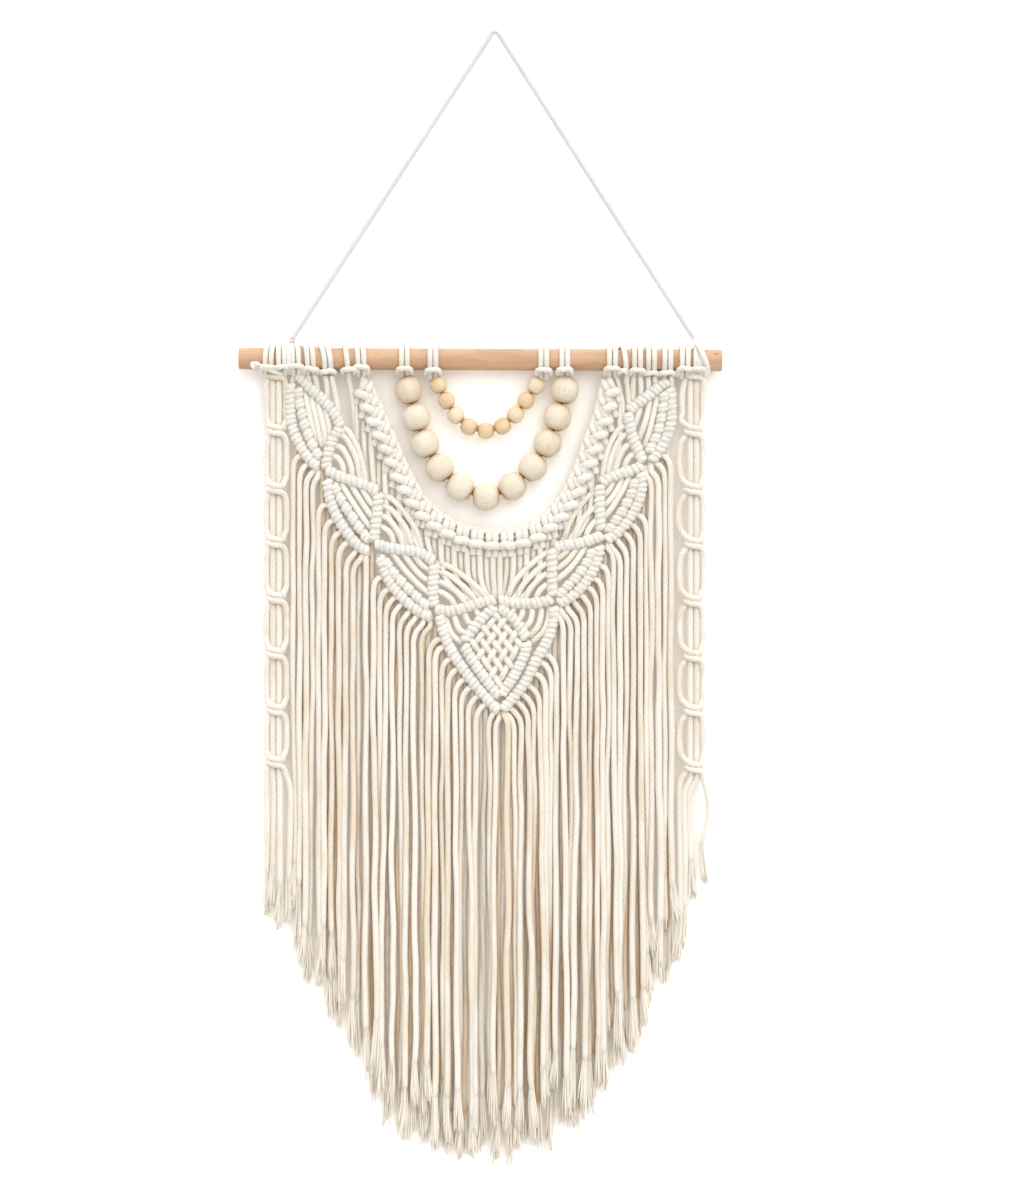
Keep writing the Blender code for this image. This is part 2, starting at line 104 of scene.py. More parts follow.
# ridges of double half hitches: the line of each one's core
RIDGES = {
    "a": [(297, 374), (305, 383), (313, 391), (322, 399), (331, 409), (337, 418), (341, 427)],
    "b": [(341, 428), (334.5, 436), (330, 447), (327, 459), (326, 468)],
    "d": [(290.5, 384), (290.5, 402), (291.5, 424), (296, 437), (303, 450), (310.5, 460), (318.5, 467)],
    "c": [(326, 469), (336, 475), (346, 479), (356, 482), (367, 486), (378, 492)],
    "e": [(378.5, 494), (377.5, 510), (375.5, 527), (373.5, 541)],
    "f": [(327.5, 480), (329, 494), (333.5, 509), (341, 524), (350, 536.5), (359, 546), (369, 552)],
    "g": [(375, 543), (387, 547.5), (400, 549.5), (413, 551), (425, 555), (434, 562)],
    "h": [(434.5, 565), (433.5, 580), (433, 595), (434, 606)],
    "i": [(380, 557), (384.5, 571), (392, 585), (402, 597), (413, 607), (424, 614), (431, 617)],
    "j": [(435, 609), (447, 611), (459, 609.5), (471, 605.5), (484, 601.5), (495, 600)],
    "a2": [(668, 381), (660, 386.5), (650, 394.5), (640, 402), (629, 410.5)],
    "b2": [(627.5, 413), (629.5, 424), (632.5, 437), (638, 450), (643, 462)],
    "d2": [(670, 388), (671.5, 408), (670.5, 424), (666, 438), (659.5, 450), (651.5, 461)],
    "c2": [(643, 466), (633, 470), (622.5, 473), (611.5, 477), (601, 483)],
    "e2": [(599.5, 485), (599.5, 500), (600, 515), (601, 530)],
    "f2": [(641, 473), (642, 486), (639.5, 498), (635, 509), (629, 519), (622, 528), (614, 535), (606, 539.5)],
    "g2": [(602.5, 535), (592, 539.5), (580, 543), (568, 545), (555, 547)],
    "h2": [(552, 549), (552, 565), (552, 582), (553, 596)],
    "i2": [(600, 546), (598, 557), (593.5, 569), (587, 580), (578.5, 590), (568.5, 598.5), (558, 603)],
    "j2": [(552, 599), (540, 602.5), (525, 603.5), (510, 602.5), (499, 600)],
    "vl": [(440, 615), (442.5, 628), (447.5, 643), (454.5, 656), (462.5, 668), (470.5, 679), (479, 689.5), (488.5, 700), (498.5, 711)],
    "vr": [(554.5, 607), (553, 620), (550, 634), (544, 647), (537, 658.5), (531.5, 669.5), (526, 680.5), (519.5, 690), (512, 699), (502, 710)],
    "nw": [(495, 607), (486, 614.5), (477.5, 623.5), (470, 633), (465, 641)],
    "sw": [(464.5, 645), (470.5, 657), (478.5, 669), (488, 682.5), (498.6, 696)],
    "ne": [(499.5, 607.5), (507, 613), (514.5, 620), (521, 629), (526, 638.5)],
    "se": [(526.5, 642.5), (525, 652), (520.5, 663.5), (515, 674), (508.5, 684), (500.8, 695)],
}
# rows of rounder knots beside the leaves' outer ridges
BUMPS = {
    "d": [(298.5, 388), (299.5, 402), (302, 414), (305, 426), (309.5, 438), (314.5, 449), (320, 459)],
    "f": [(334, 484), (338, 494), (344, 504.5), (350.5, 514.5), (357, 524.5), (363.5, 533.5), (369, 541)],
    "i": [(384.5, 560), (390, 568.5), (397.5, 577.5), (406, 586.5), (414.5, 595), (422.5, 602.5), (428.5, 608)],
    "d2": [(664.5, 392), (663.5, 404), (661.5, 417), (658.5, 430), (654, 442), (648.5, 453)],
    "f2": [(635, 479), (633, 489), (629, 499), (624, 508.5), (618.5, 517), (612.5, 525.5), (606.5, 532)],
    "i2": [(593, 549), (589.5, 558), (584, 567), (577.5, 576), (570, 584), (562.5, 591.5), (558.5, 597)],
}
# strands inside the leaves, and those that arch from one leaf to the next:
# each runs through its own few points
FILLERS = {
    "leaf 1": [[(303.5, 385), (307, 403), (311.5, 424), (317, 442)],
               [(309.5, 390), (313.5, 408), (318, 428), (321.5, 447)],
               [(315.5, 395), (320, 412), (324, 430), (325.5, 449)],
               [(322, 401), (326.5, 415), (329, 428), (329.5, 440)]],
    "leaf 2": [[(338.5, 478), (344.5, 489), (353.5, 503.5), (363.5, 518.5), (372, 531)],
               [(349, 480), (354.5, 490.5), (362, 502.5), (370, 514), (377, 521)],
               [(359, 484), (364.5, 493), (371, 503), (378, 509)],
               [(368, 487), (373, 494), (379, 499)]],
    "leaf 3": [[(389, 548), (395, 556.5), (404, 569), (414.5, 580.5), (426, 591), (433, 595)],
               [(400, 549), (405.5, 556.5), (413.5, 567.5), (422.5, 577), (433, 583)],
               [(411, 551), (415.5, 556.5), (422, 565), (433, 572)],
               [(422, 554), (426.5, 559), (434, 565)]],
    "leaf 1r": [[(659, 388), (656, 404), (653, 417), (650, 430), (644.5, 449)],
                [(651, 394), (648, 411), (645, 423), (638.5, 440)],
                [(641, 402), (638.5, 414), (632, 431)],
                [(633, 408), (631, 417), (628.5, 424)]],
    "leaf 2r": [[(632, 471), (624.5, 487), (617, 500), (609.5, 511), (600, 521)],
                [(624, 474), (617, 490), (610, 500), (600, 509)],
                [(615, 477), (609, 490), (600, 499)],
                [(607, 480), (603, 487), (598, 491)]],
    "leaf 3r": [[(588.5, 541), (581, 554), (573, 565), (563, 575), (552, 583)],
                [(580, 543), (573, 554), (565, 563), (552, 572)],
                [(571, 545), (565, 553), (552, 562)],
                [(562, 546), (556, 553), (552, 556)]],
}
ARCHES = {
    "b c": [[(338, 427), (347, 430), (356, 444), (362, 462), (366.5, 485)],
            [(333, 435), (343.5, 436), (351.5, 447.5), (357.5, 463), (359.5, 483)],
            [(329.5, 446), (340.5, 447), (347, 456), (351.5, 468), (352.5, 481)],
            [(327, 456), (336.5, 457), (342, 464), (345, 478)]],
    "e g": [[(379, 494), (391, 498.5), (405, 513), (416, 530), (422.5, 554)],
            [(378, 504), (389, 508), (399, 518.5), (408, 532.5), (412.5, 551)],
            [(377, 514), (387, 518), (394.5, 526), (401, 537), (403, 549)],
            [(376, 525), (385, 528.5), (391.5, 535), (394, 548)]],
    "h j": [[(434, 562), (449, 566.5), (465.5, 577.5), (479.5, 589.5), (489, 601)],
            [(434, 571), (447, 574), (460, 583.5), (471, 594), (478, 604)],
            [(433.5, 581), (444.5, 583.5), (455, 590.5), (463, 599), (467, 607)],
            [(433, 590), (442.5, 593), (451, 599), (456, 609)]],
    "b c r": [[(629, 423), (619, 429), (611, 442), (605, 460), (601.5, 482)],
              [(631, 432), (621.5, 437.5), (614, 450.5), (609.5, 465), (607.5, 479)],
              [(634, 442.5), (625.5, 447), (619.5, 457), (616, 468), (614.5, 476)],
              [(639, 452.5), (630.5, 456), (625.5, 464), (623.5, 473)]],
    "e g r": [[(599, 489), (588, 496.5), (577, 510), (568.5, 525), (563, 545)],
              [(599.5, 504), (590, 511), (581.5, 521.5), (576, 532), (573.5, 544)],
              [(600, 517), (594, 522.5), (588, 530.5), (585.5, 541)]],
    "h j r": [[(552, 550), (540, 557), (526, 569), (514, 583), (506, 601)],
              [(552, 561), (541, 567), (530, 577), (521, 588), (516, 602)],
              [(552, 571.5), (542.5, 576), (534, 584), (527.5, 593), (525, 603)],
              [(552.5, 582), (544, 586.5), (538, 593), (535.5, 602)]],
    "j nw": [[(453, 610), (455.5, 620), (460, 630), (470, 634.5)],
             [(464, 607), (466, 617.5), (470.5, 623.5), (479, 623)],
             [(475, 604), (477, 612), (480, 616), (486, 615.5)]],
    "j ne": [[(541, 603), (541, 616), (537.5, 627), (528, 637)],
             [(531.5, 603), (532, 615), (528.5, 624), (520, 629)],
             [(522, 603), (522.5, 613), (519, 619.5), (512, 620)],
             [(513, 603), (513.5, 609), (511, 613), (506, 613.5)]],
    "corner l": [[(444, 612), (447.5, 624), (452.5, 635), (462, 643)]],
    "corner r": [[(549.5, 601), (548.5, 618), (543.5, 631), (532, 642)]],
}
# where cords go down from the neckline: first and last place there, first
# and last place on the ridge under it, how many, and that ridge
Drop = namedtuple("Drop", "first last land_first land_last count ridge")
DROPS = [Drop(356, 379, 366, 378, 4, "c"), Drop(385, 434, 415, 435, 8, "g"),
         Drop(441, 493, 478, 495, 9, "j"), Drop(500, 547, 500, 514, 8, "j2"),
         Drop(555, 598, 553, 569, 8, "g2"), Drop(604, 620, 602, 609, 3, "c2")]

# cords of the fringe that leave a ridge: where each hangs, and how far to
# the side of that its knot is
Fan = namedtuple("Fan", "ridge reach hangs")
FANS = [Fan("d", 11.5, (293.2, 299.8, 306.2)),
        Fan("f", 13.0, (318.6, 324.6, 331.2, 338.6, 346.2, 352.8)),
        Fan("i", 13.0, (373.4, 379.6, 386.0, 392.4, 399.4, 406.6, 413.6)),
        Fan("vl", 13.3, (429.0, 435.2, 441.6, 448.0, 454.8, 461.2, 468.4, 476.0)),
        Fan("vr", -15.0, (514.0, 521.4, 528.0, 533.8, 539.6, 545.6, 551.2, 556.6)),
        Fan("i2", -13.0, (570.6, 577.4, 583.8, 590.4, 596.8, 602.6, 608.4)),
        Fan("f2", -13.0, (620.0, 626.6, 633.4, 640.2, 646.4)),
        Fan("d2", -12.5, (664.8, 670.8))]
# and those that hang straight down from where ridges meet
Exit = namedtuple("Exit", "u v hang")
EXITS = [Exit(318, 468, 312.6), Exit(366, 551, 366.2), Exit(430, 616, 421.4),
         Exit(493, 706, 488.6), Exit(499, 711, 495.6), Exit(504, 707, 508.0),
         Exit(556, 604, 563.0), Exit(608, 539, 613.6), Exit(646, 466, 651.4),
         Exit(651, 461, 658.4)]
# and of those that hang behind them, which show in the gaps, but for the
# places that stay open right through
BEHIND_FROM, BEHIND_TO, BEHIND_STEP = 296.5, 673.0, 6.3
OPEN_GAPS = ((311.0, 317.5), (343.0, 352.5), (653.5, 660.0))
TIPS = [(263, 915), (286, 946), (297, 972), (311, 984), (316, 1019), (336, 1030),
        (351, 1048), (380, 1111), (398, 1137), (416, 1154), (448, 1162),
        (480, 1164), (505, 1172), (518, 1162), (544, 1155), (567, 1134),
        (594, 1112), (611, 1076), (633, 1059), (647, 1016), (654, 991),
        (665, 980), (686, 966), (706, 890)]
EDGE = [(287.8, 440), (303, 464), (322, 484), (328, 506), (350, 545), (373, 556),
        (387, 592), (412, 614), (430, 622), (449, 668), (489, 710), (500, 716),
        (510, 710), (541, 676), (560, 620), (572, 603), (600, 576), (606, 549),
        (625, 539), (645, 506), (652, 471), (673, 430), (677.2, 400)]

KNOTS_LEFT = [375.0, 431.0, 489.0, 543.0, 598.0, 654.0, 709.0, 762.0]
KNOTS_RIGHT = [375.0, 432.0, 489.0, 543.0, 601.0, 656.0, 711.0, 767.0]


# ------------------------------------------------------------------- curves
def raised(points, w=0.0):
    """Drawing points with a depth each."""
    return [(p[0], p[1], p[2] if len(p) > 2 else w) for p in points]


def length_of(path):
    return float(np.linalg.norm(np.diff(path, axis=0), axis=1).sum())


def even(path, step):
    """The same line with a point every step."""
    legs = np.linalg.norm(np.diff(path, axis=0), axis=1)
    at = np.concatenate([[0.0], np.cumsum(legs)])
    count = max(2, int(round(at[-1] / step)) + 1)
    want = np.linspace(0.0, at[-1], count)
    return np.stack([np.interp(want, at, path[:, k]) for k in range(3)], 1)


def smooth(points, step):
    """A smooth curve through the points, with a point every step."""
    p = np.asarray(points, float)
    if len(p) == 2:
        return even(p, step)
    p = np.vstack([2 * p[0] - p[1], p, 2 * p[-1] - p[-2]])
    share = np.linspace(0.0, 1.0, 17)[:-1, None]
    out = []
    for a, b, c, d in zip(p, p[1:], p[2:], p[3:]):
        t1 = max(np.linalg.norm(b - a), 1e-6) ** 0.5
        t2 = t1 + max(np.linalg.norm(c - b), 1e-6) ** 0.5
        t3 = t2 + max(np.linalg.norm(d - c), 1e-6) ** 0.5
        t = t1 + (t2 - t1) * share
        q1 = (t1 - t) / t1 * a + t / t1 * b
        q2 = (t2 - t) / (t2 - t1) * b + (t - t1) / (t2 - t1) * c
        q3 = (t3 - t) / (t3 - t2) * c + (t - t2) / (t3 - t2) * d
        q1 = (t2 - t) / t2 * q1 + t / t2 * q2
        q2 = (t3 - t) / (t3 - t1) * q2 + (t - t1) / (t3 - t1) * q3
        out.append((t2 - t) / (t2 - t1) * q1 + (t - t1) / (t2 - t1) * q2)
    out.append(p[-2][None])
    return even(np.concatenate(out), step)


def along(path, s):
    """The point at distance s on a line."""
    legs = np.linalg.norm(np.diff(path, axis=0), axis=1)
    at = np.concatenate([[0.0], np.cumsum(legs)])
    return np.array([np.interp(s, at, path[:, k]) for k in range(3)]).T


def side_of(path):
    """The direction to the right of a line in the drawing's plane."""
    t = np.gradient(path, axis=0)
    n = np.stack([-t[:, 1], t[:, 0], np.zeros(len(t))], 1)
    return n / np.maximum(np.linalg.norm(n, axis=1), 1e-9)[:, None]


def shifted(path, distance):
    return path + side_of(path) * distance


def frames(path):
    """Directions along and across a line, turning as little as they can."""
    t = np.gradient(path, axis=0)
    t /= np.maximum(np.linalg.norm(t, axis=1), 1e-9)[:, None]
    n = np.empty_like(t)
    first = np.array([0.0, 0.0, 1.0]) if abs(t[0, 2]) < 0.9 else np.array([1.0, 0.0, 0.0])
    v = first - first.dot(t[0]) * t[0]
    n[0] = v / math.sqrt(v.dot(v))
    for i in range(1, len(t)):
        v = n[i - 1] - n[i - 1].dot(t[i]) * t[i]
        n[i] = v / math.sqrt(v.dot(v))
    return t, n, np.cross(t, n)


def level(line, u):
    return float(np.interp(u, [p[0] for p in line], [p[1] for p in line]))


# -------------------------------------------------------------------- meshes
def to_world(points):
    """Drawing units to metres in the frame of the construction."""
    p = np.asarray(points, float)
    return np.stack([(p[..., 0] - HANG_U) * UNIT, -p[..., 2] * UNIT,
                     (HANG_V - p[..., 1]) * UNIT], -1)


class Cords:
    """Many cords gathered into one mesh."""

    def __init__(self, name):
        self.name, self.points, self.faces, self.used = name, [], [], 0
        self.fibre, self.tint, self.deep, self.open = [], [], [], []
        self.length = 0.0

    def sweep(self, path, radii, section, turn, tint, deep, pointed=False):
        """One tube: rings of a section round a path, closed at both ends."""
        path = np.asarray(path, float)
        count, sides = len(path), len(section)
        _, n, b = frames(path)
        legs = np.linalg.norm(np.diff(path, axis=0), axis=1)
        at = np.concatenate([[0.0], np.cumsum(legs)])
        radii = np.broadcast_to(np.asarray(radii, float), (count,))
        angle = (2 * np.pi * np.arange(sides) / sides)[None, :] + turn(at)[:, None]
        out = radii[:, None] * np.asarray(section)[None, :]
        x, y = out * np.cos(angle), out * np.sin(angle)
        ring = path[:, None, :] + x[..., None] * n[:, None, :] + y[..., None] * b[:, None, :]
        base = self.used
        grid = base + np.arange(count * sides).reshape(count, sides)
        right = np.roll(grid, -1, 1)
        quads = np.stack([grid[:-1], right[:-1], right[1:], grid[1:]], -1).reshape(-1, 4)
        ends = base + count * sides
        lead = 0.0 if pointed else 0.35
        caps = np.stack([path[0] + (path[0] - path[1]) * lead,
                         path[-1] + (path[-1] - path[-2]) * lead])
        first = np.stack([grid[0], np.full(sides, ends), right[0]], -1)
        last = np.stack([grid[-1], right[-1], np.full(sides, ends + 1)], -1)
        self.points.append(np.concatenate([ring.reshape(-1, 3), caps]))
        self.faces.append((quads, first[:, [0, 2, 1]][:, ::-1], last))
        shift = rng.random() * 400
        fibre = np.stack([np.cos(angle) * radii[:, None], np.sin(angle) * radii[:, None],
                          np.repeat(at[:, None] + shift, sides, 1)], -1).reshape(-1, 3)
        self.fibre.append(np.concatenate([fibre, [[0, 0, at[0] + shift], [0, 0, at[-1] + shift]]]))
        self.tint.append(np.full(count * sides + 2, tint))
        self.deep.append(np.concatenate([np.tile(deep, count), [0.0, 0.0]]))
        # frayed threads take only a little of the painted hollow shade
        self.open.append(np.full(count * sides + 2, 0.12 if pointed else 1.0))
        self.used += count * sides + 2
        return at[-1]

    def rope(self, path, radius=CORD_R, step=2.0, lay=LAY, tint=None, sides=12, hold=1.0):
        """A cord of three plies laid together."""
        path = even(np.asarray(path, float), step)
        section = PLIES[sides]
        phase = rng.random() * 2 * np.pi
        tint = rng.normal(0, 1) if tint is None else tint
        if np.ndim(radius):
            radius = np.interp(np.linspace(0, 1, len(path)), np.linspace(0, 1, len(radius)), radius)
        done = self.sweep(path, np.asarray(radius) * 1.02, section[0],
                          lambda at: phase - 2 * np.pi * at / lay, tint, section[1])
        self.length += done * hold
        return done

    def thread(self, path, radii, sides=4, tint=0.0):
        """A plain thin thread."""
        self.sweep(path, radii, np.ones(sides), lambda at: np.zeros_like(at), tint,
                   np.zeros(sides), pointed=True)

    def build(self, look, hollow=None):
        points = to_world(np.concatenate(self.points))
        quads = np.concatenate([f[0] for f in self.faces])
        tris = np.concatenate([np.concatenate([f[1], f[2]]) for f in self.faces])
        corners = np.concatenate([quads.ravel(), tris.ravel()]).astype(np.int32)
        starts = np.concatenate([np.arange(len(quads)) * 4,
                                 len(quads) * 4 + np.arange(len(tris)) * 3]).astype(np.int32)
        mesh = bpy.data.meshes.new(self.name)
        mesh.vertices.add(len(points))
        mesh.vertices.foreach_set("co", points.astype(np.float32).ravel())
        mesh.loops.add(len(corners))
        mesh.loops.foreach_set("vertex_index", corners)
        mesh.polygons.add(len(starts))
        mesh.polygons.foreach_set("loop_start", starts)
        mesh.update(calc_edges=True)
        mesh.validate()
        mesh.shade_smooth()
        give(mesh, "fibre", "FLOAT_VECTOR", np.concatenate(self.fibre) * UNIT * 1000)
        give(mesh, "tint", "FLOAT", np.concatenate(self.tint))
        # deep carries the mask of painted shade in the ply grooves, hollow that of painted shade where a cord lies deep
        # among others
        give(mesh, "deep", "FLOAT", np.concatenate(self.deep))
        give(mesh, "hollow", "FLOAT", np.zeros(len(points)) if hollow is None else hollow)
        give(mesh, "combed", "FLOAT", np.concatenate(self.open) < 0.5)
        piece = bpy.data.objects.new(self.name, mesh)
        bpy.context.scene.collection.objects.link(piece)
        mesh.materials.append(look)
        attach(piece, "root")
        return piece


# the mask for painted shade where cords lie deep among others
def hollows(stores, cell=0.75, empty=-7.0):
    """How far each point of the cords lies below what is round it, seen from
    the front or from the back, whichever is less: 0 on top, 1 deep inside."""
    clouds = [np.concatenate(s.points) for s in stores]
    cloud = np.concatenate(clouds)
    low = cloud[:, :2].min(0) - 14
    size = ((cloud[:, :2].max(0) + 14 - low) / cell).astype(int) + 1
    place = ((cloud[:, :2] - low) / cell).astype(int)
    index = place[:, 0] * size[1] + place[:, 1]
    found = []
    for sign in (1.0, -1.0):
        top = np.full(size[0] * size[1], -40.0)
        np.maximum.at(top, index, sign * cloud[:, 2])
        top = top.reshape(size)
        wide = np.maximum.reduce([np.roll(top, (i, j), (0, 1))
                                  for i in (-1, 0, 1) for j in (-1, 0, 1)])
        top = np.where(top < -39.0, np.maximum(wide, empty), np.maximum(top, wide - 1.5))
        for axis in (0, 1, 0, 1):
            total = np.cumsum(top, axis=axis)
            top = (np.roll(total, -4, axis) - np.roll(total, 5, axis)) / 9.0
        around = top[place[:, 0], place[:, 1]]
        found.append(around - sign * cloud[:, 2])
    deep = np.clip((np.minimum(*found) - 0.8) / 4.4, 0.0, 1.0)
    deep = deep * np.concatenate([np.concatenate(s.open) for s in stores])
    return np.split(deep, np.cumsum([len(c) for c in clouds])[:-1])


def give(mesh, name, kind, values):
    field = "vector" if kind == "FLOAT_VECTOR" else "value"
    layer = mesh.attributes.new(name, kind, "POINT")
    layer.data.foreach_set(field, np.asarray(values, np.float32).ravel())


def ply_section(sides):
    """Outer line of three plies, and how deep in its groove each point is."""
    a = 2 * np.pi * np.arange(sides) / sides
    lobe = np.abs(np.cos(1.5 * a))
    out = 0.915 + 0.085 * lobe ** 0.7
    return out, 1.0 - lobe


PLIES = {12: ply_section(12), 9: ply_section(9), 18: ply_section(18)}


# -------------------------------------------------------------------- knots
def ridge(store, points, w=0.6, reach=6.0, wrap=3.45, knot=10.6, bulge=0.25, pair=0.12, tint=None,
          core=5.0):
    """Double half hitches: a core cord wrapped twice by each cord in turn."""
    path = smooth(raised(points, w), 0.5)
    total = length_of(path)
    knots = max(1, int(round(total / knot)))
    turns = 2 * knots
    pitch = total / turns
    k = np.arange(turns * 12 + 1) / 12
    s = pitch * (k + pair * np.sin(np.pi * k) * 2 / np.pi)
    s = np.clip(s + np.interp(k, np.arange(turns + 2), rng.normal(0, 0.12, turns + 2)), 0, total)
    centre = along(path, s)
    side = side_of(path)
    n = np.stack([np.interp(s, np.linspace(0, total, len(path)), side[:, i]) for i in range(3)], 1)
    n /= np.linalg.norm(n, axis=1)[:, None]
    angle = 2 * np.pi * k + 0.5 * np.pi
    size = reach - wrap + bulge * np.sin(0.5 * np.pi * k) ** 2
    size = size + np.interp(k, np.arange(turns + 2), rng.normal(0, 0.10, turns + 2))
    up = np.array([0.0, 0.0, 1.0])
    line = centre + (np.cos(angle) * size)[:, None] * n - (np.sin(angle) * size)[:, None] * up
    tint = rng.normal(0, 0.4) if tint is None else tint
    store.rope(line, wrap, step=1.6, lay=12.0, tint=tint)
    store.rope(smooth(raised(points, w), 3.0), [core * 0.6] + [core] * 14 + [core * 0.6], step=2.2,
               tint=tint)
    for last in (-2, -1):  # less painted crease shade on the wraps and the core, as tight wraps stand up
        store.open[last] = store.open[last] * 0.62


def head(store, origin, across, down, carrier, bar, half=2.9, r=2.62, lean=0.0,
         drop=0.0, tint=None, wide=3.3, proud=1.85, thick=None):
    """A lark's head knot: two legs over the front of the carrier, round its
    back, and joined by a bar in front of where they come down."""
    o, x, y = np.asarray(origin, float), np.asarray(across, float), np.asarray(down, float)
    z = np.array([0.0, 0.0, 1.0])
    big = carrier + r

    def at(a, b, c):
        return o + a * x + b * y + c * z

    def round_(a, degrees, extra=0.0):
        t = math.radians(degrees)
        return at(a, (big + extra) * math.cos(t), (big + extra) * math.sin(t))

    meet = math.degrees(math.acos(max(-1.0, min(1.0, bar / big)))) if bar < big else 12.0
    front = (big * math.sin(math.radians(meet)) if bar < big else r * 0.6) + proud * r
    line = []
    for sign in (-1, 1):
        leg = [at(sign * half, bar + 3.2 * r + drop, 0.2 if carrier > 6 else -0.6),
               at(sign * half, max(bar, big * 0.8) + 1.2 * r, max(0.4, front - 3.6 * r)),
               round_(sign * half, meet * 0.85, 0.1)]
        leg += [round_(sign * half + lean * (1 - math.cos(math.radians(a - 60))) * 0.5, a)
                for a in (90, 130, 180)]
        out = half + wide
        leg += [round_(sign * (half * 0.6 + out * 0.4) + lean * 0.4, 225),
                round_(sign * (half * 0.3 + out * 0.7), 270),
                round_(sign * out, 325),
                at(sign * (out + 0.5), max(bar, big) + 0.2 * r, front * 0.30),
                at(sign * (out - 0.3), bar + 0.6, front * 0.82)]
        line.append(leg)
    tilt = rng.normal(0, 0.5)
    whole = line[0] + [at(-half * 0.5, bar + 0.2 - tilt, front + 0.2),
                       at(half * 0.5, bar + 0.2 + tilt, front + 0.2)] + line[1][::-1]
    store.rope(smooth(whole, 1.0), r if thick is None else thick, step=1.7, lay=13.0, tint=tint)


def square_knot(left, right, v, mid, reach, bows):
    """Where the two working cords of a side chain go in a square knot: each
    crosses the front once and the back once."""
    lu, ru = mid - reach, mid + reach
    wide_left, wide_right = lu - 1.9 - 0.58 * bows[0], ru + 1.9 + 0.58 * bows[1]
    left += [(wide_left, v - 12.0, 0.0), (lu + 0.2, v - 6.4, 1.8), (lu + 3.2, v - 4.2, 5.2),
             (mid - 0.5, v - 3.4, 7.0), (ru - 3.0, v - 2.4, 5.8), (ru - 1.2, v - 0.2, 0.6),
             (ru - 3.6, v + 1.2, -4.8), (mid, v + 1.6, -6.4), (lu + 2.8, v + 1.8, -3.2),
             (lu + 0.2, v + 4.8, 0.6), (wide_left, v + 11.5, 0.6)]
    right += [(wide_right, v - 12.0, 0.0), (ru + 0.6, v - 6.0, 3.0), (ru - 0.2, v - 2.4, 4.6),
              (ru - 3.2, v - 0.4, -1.4), (mid, v - 1.2, -7.0), (lu + 2.8, v - 1.0, -3.2),
              (lu + 0.2, v - 0.2, 2.2), (lu + 3.2, v + 1.6, 5.4), (mid + 0.5, v + 2.6, 7.1),
              (ru - 2.6, v + 3.0, 5.8), (ru + 0.8, v + 5.4, 2.8), (wide_right, v + 12.0, 0.8)]


# ---------------------------------------------------------------- materials
def shader(name, **fixed):
    mat = bpy.data.materials.new(name)
    mat.use_nodes = True
    tree = mat.node_tree
    bsdf = tree.nodes["Principled BSDF"]
    for key, value in fixed.items():
        bsdf.inputs[key.replace("_", " ")].default_value = value
    return mat, tree, bsdf


def node(tree, kind, **values):
    made = tree.nodes.new(kind)
    for key, value in values.items():
        if key in made.bl_rna.properties:
            setattr(made, key, value)
        else:
            made.inputs[key.replace("_", " ")].default_value = value
    return made


def ramp(tree, source, stops):
    made = tree.nodes.new("ShaderNodeValToRGB")
    bar = made.color_ramp
    while len(bar.elements) < len(stops):
        bar.elements.new(0.5)
    for item, (place, colour) in zip(bar.elements, stops):
        item.position = place
        item.color = (*colour, 1.0)
    tree.links.new(source, made.inputs["Fac"])
    return made.outputs["Color"]


def stretched(tree, source, scale):
    """A coordinate multiplied by its own factor along each axis."""
    made = node(tree, "ShaderNodeVectorMath", operation="MULTIPLY")
    tree.links.new(source, made.inputs[0])
    made.inputs[1].default_value = scale
    return made.outputs[0]


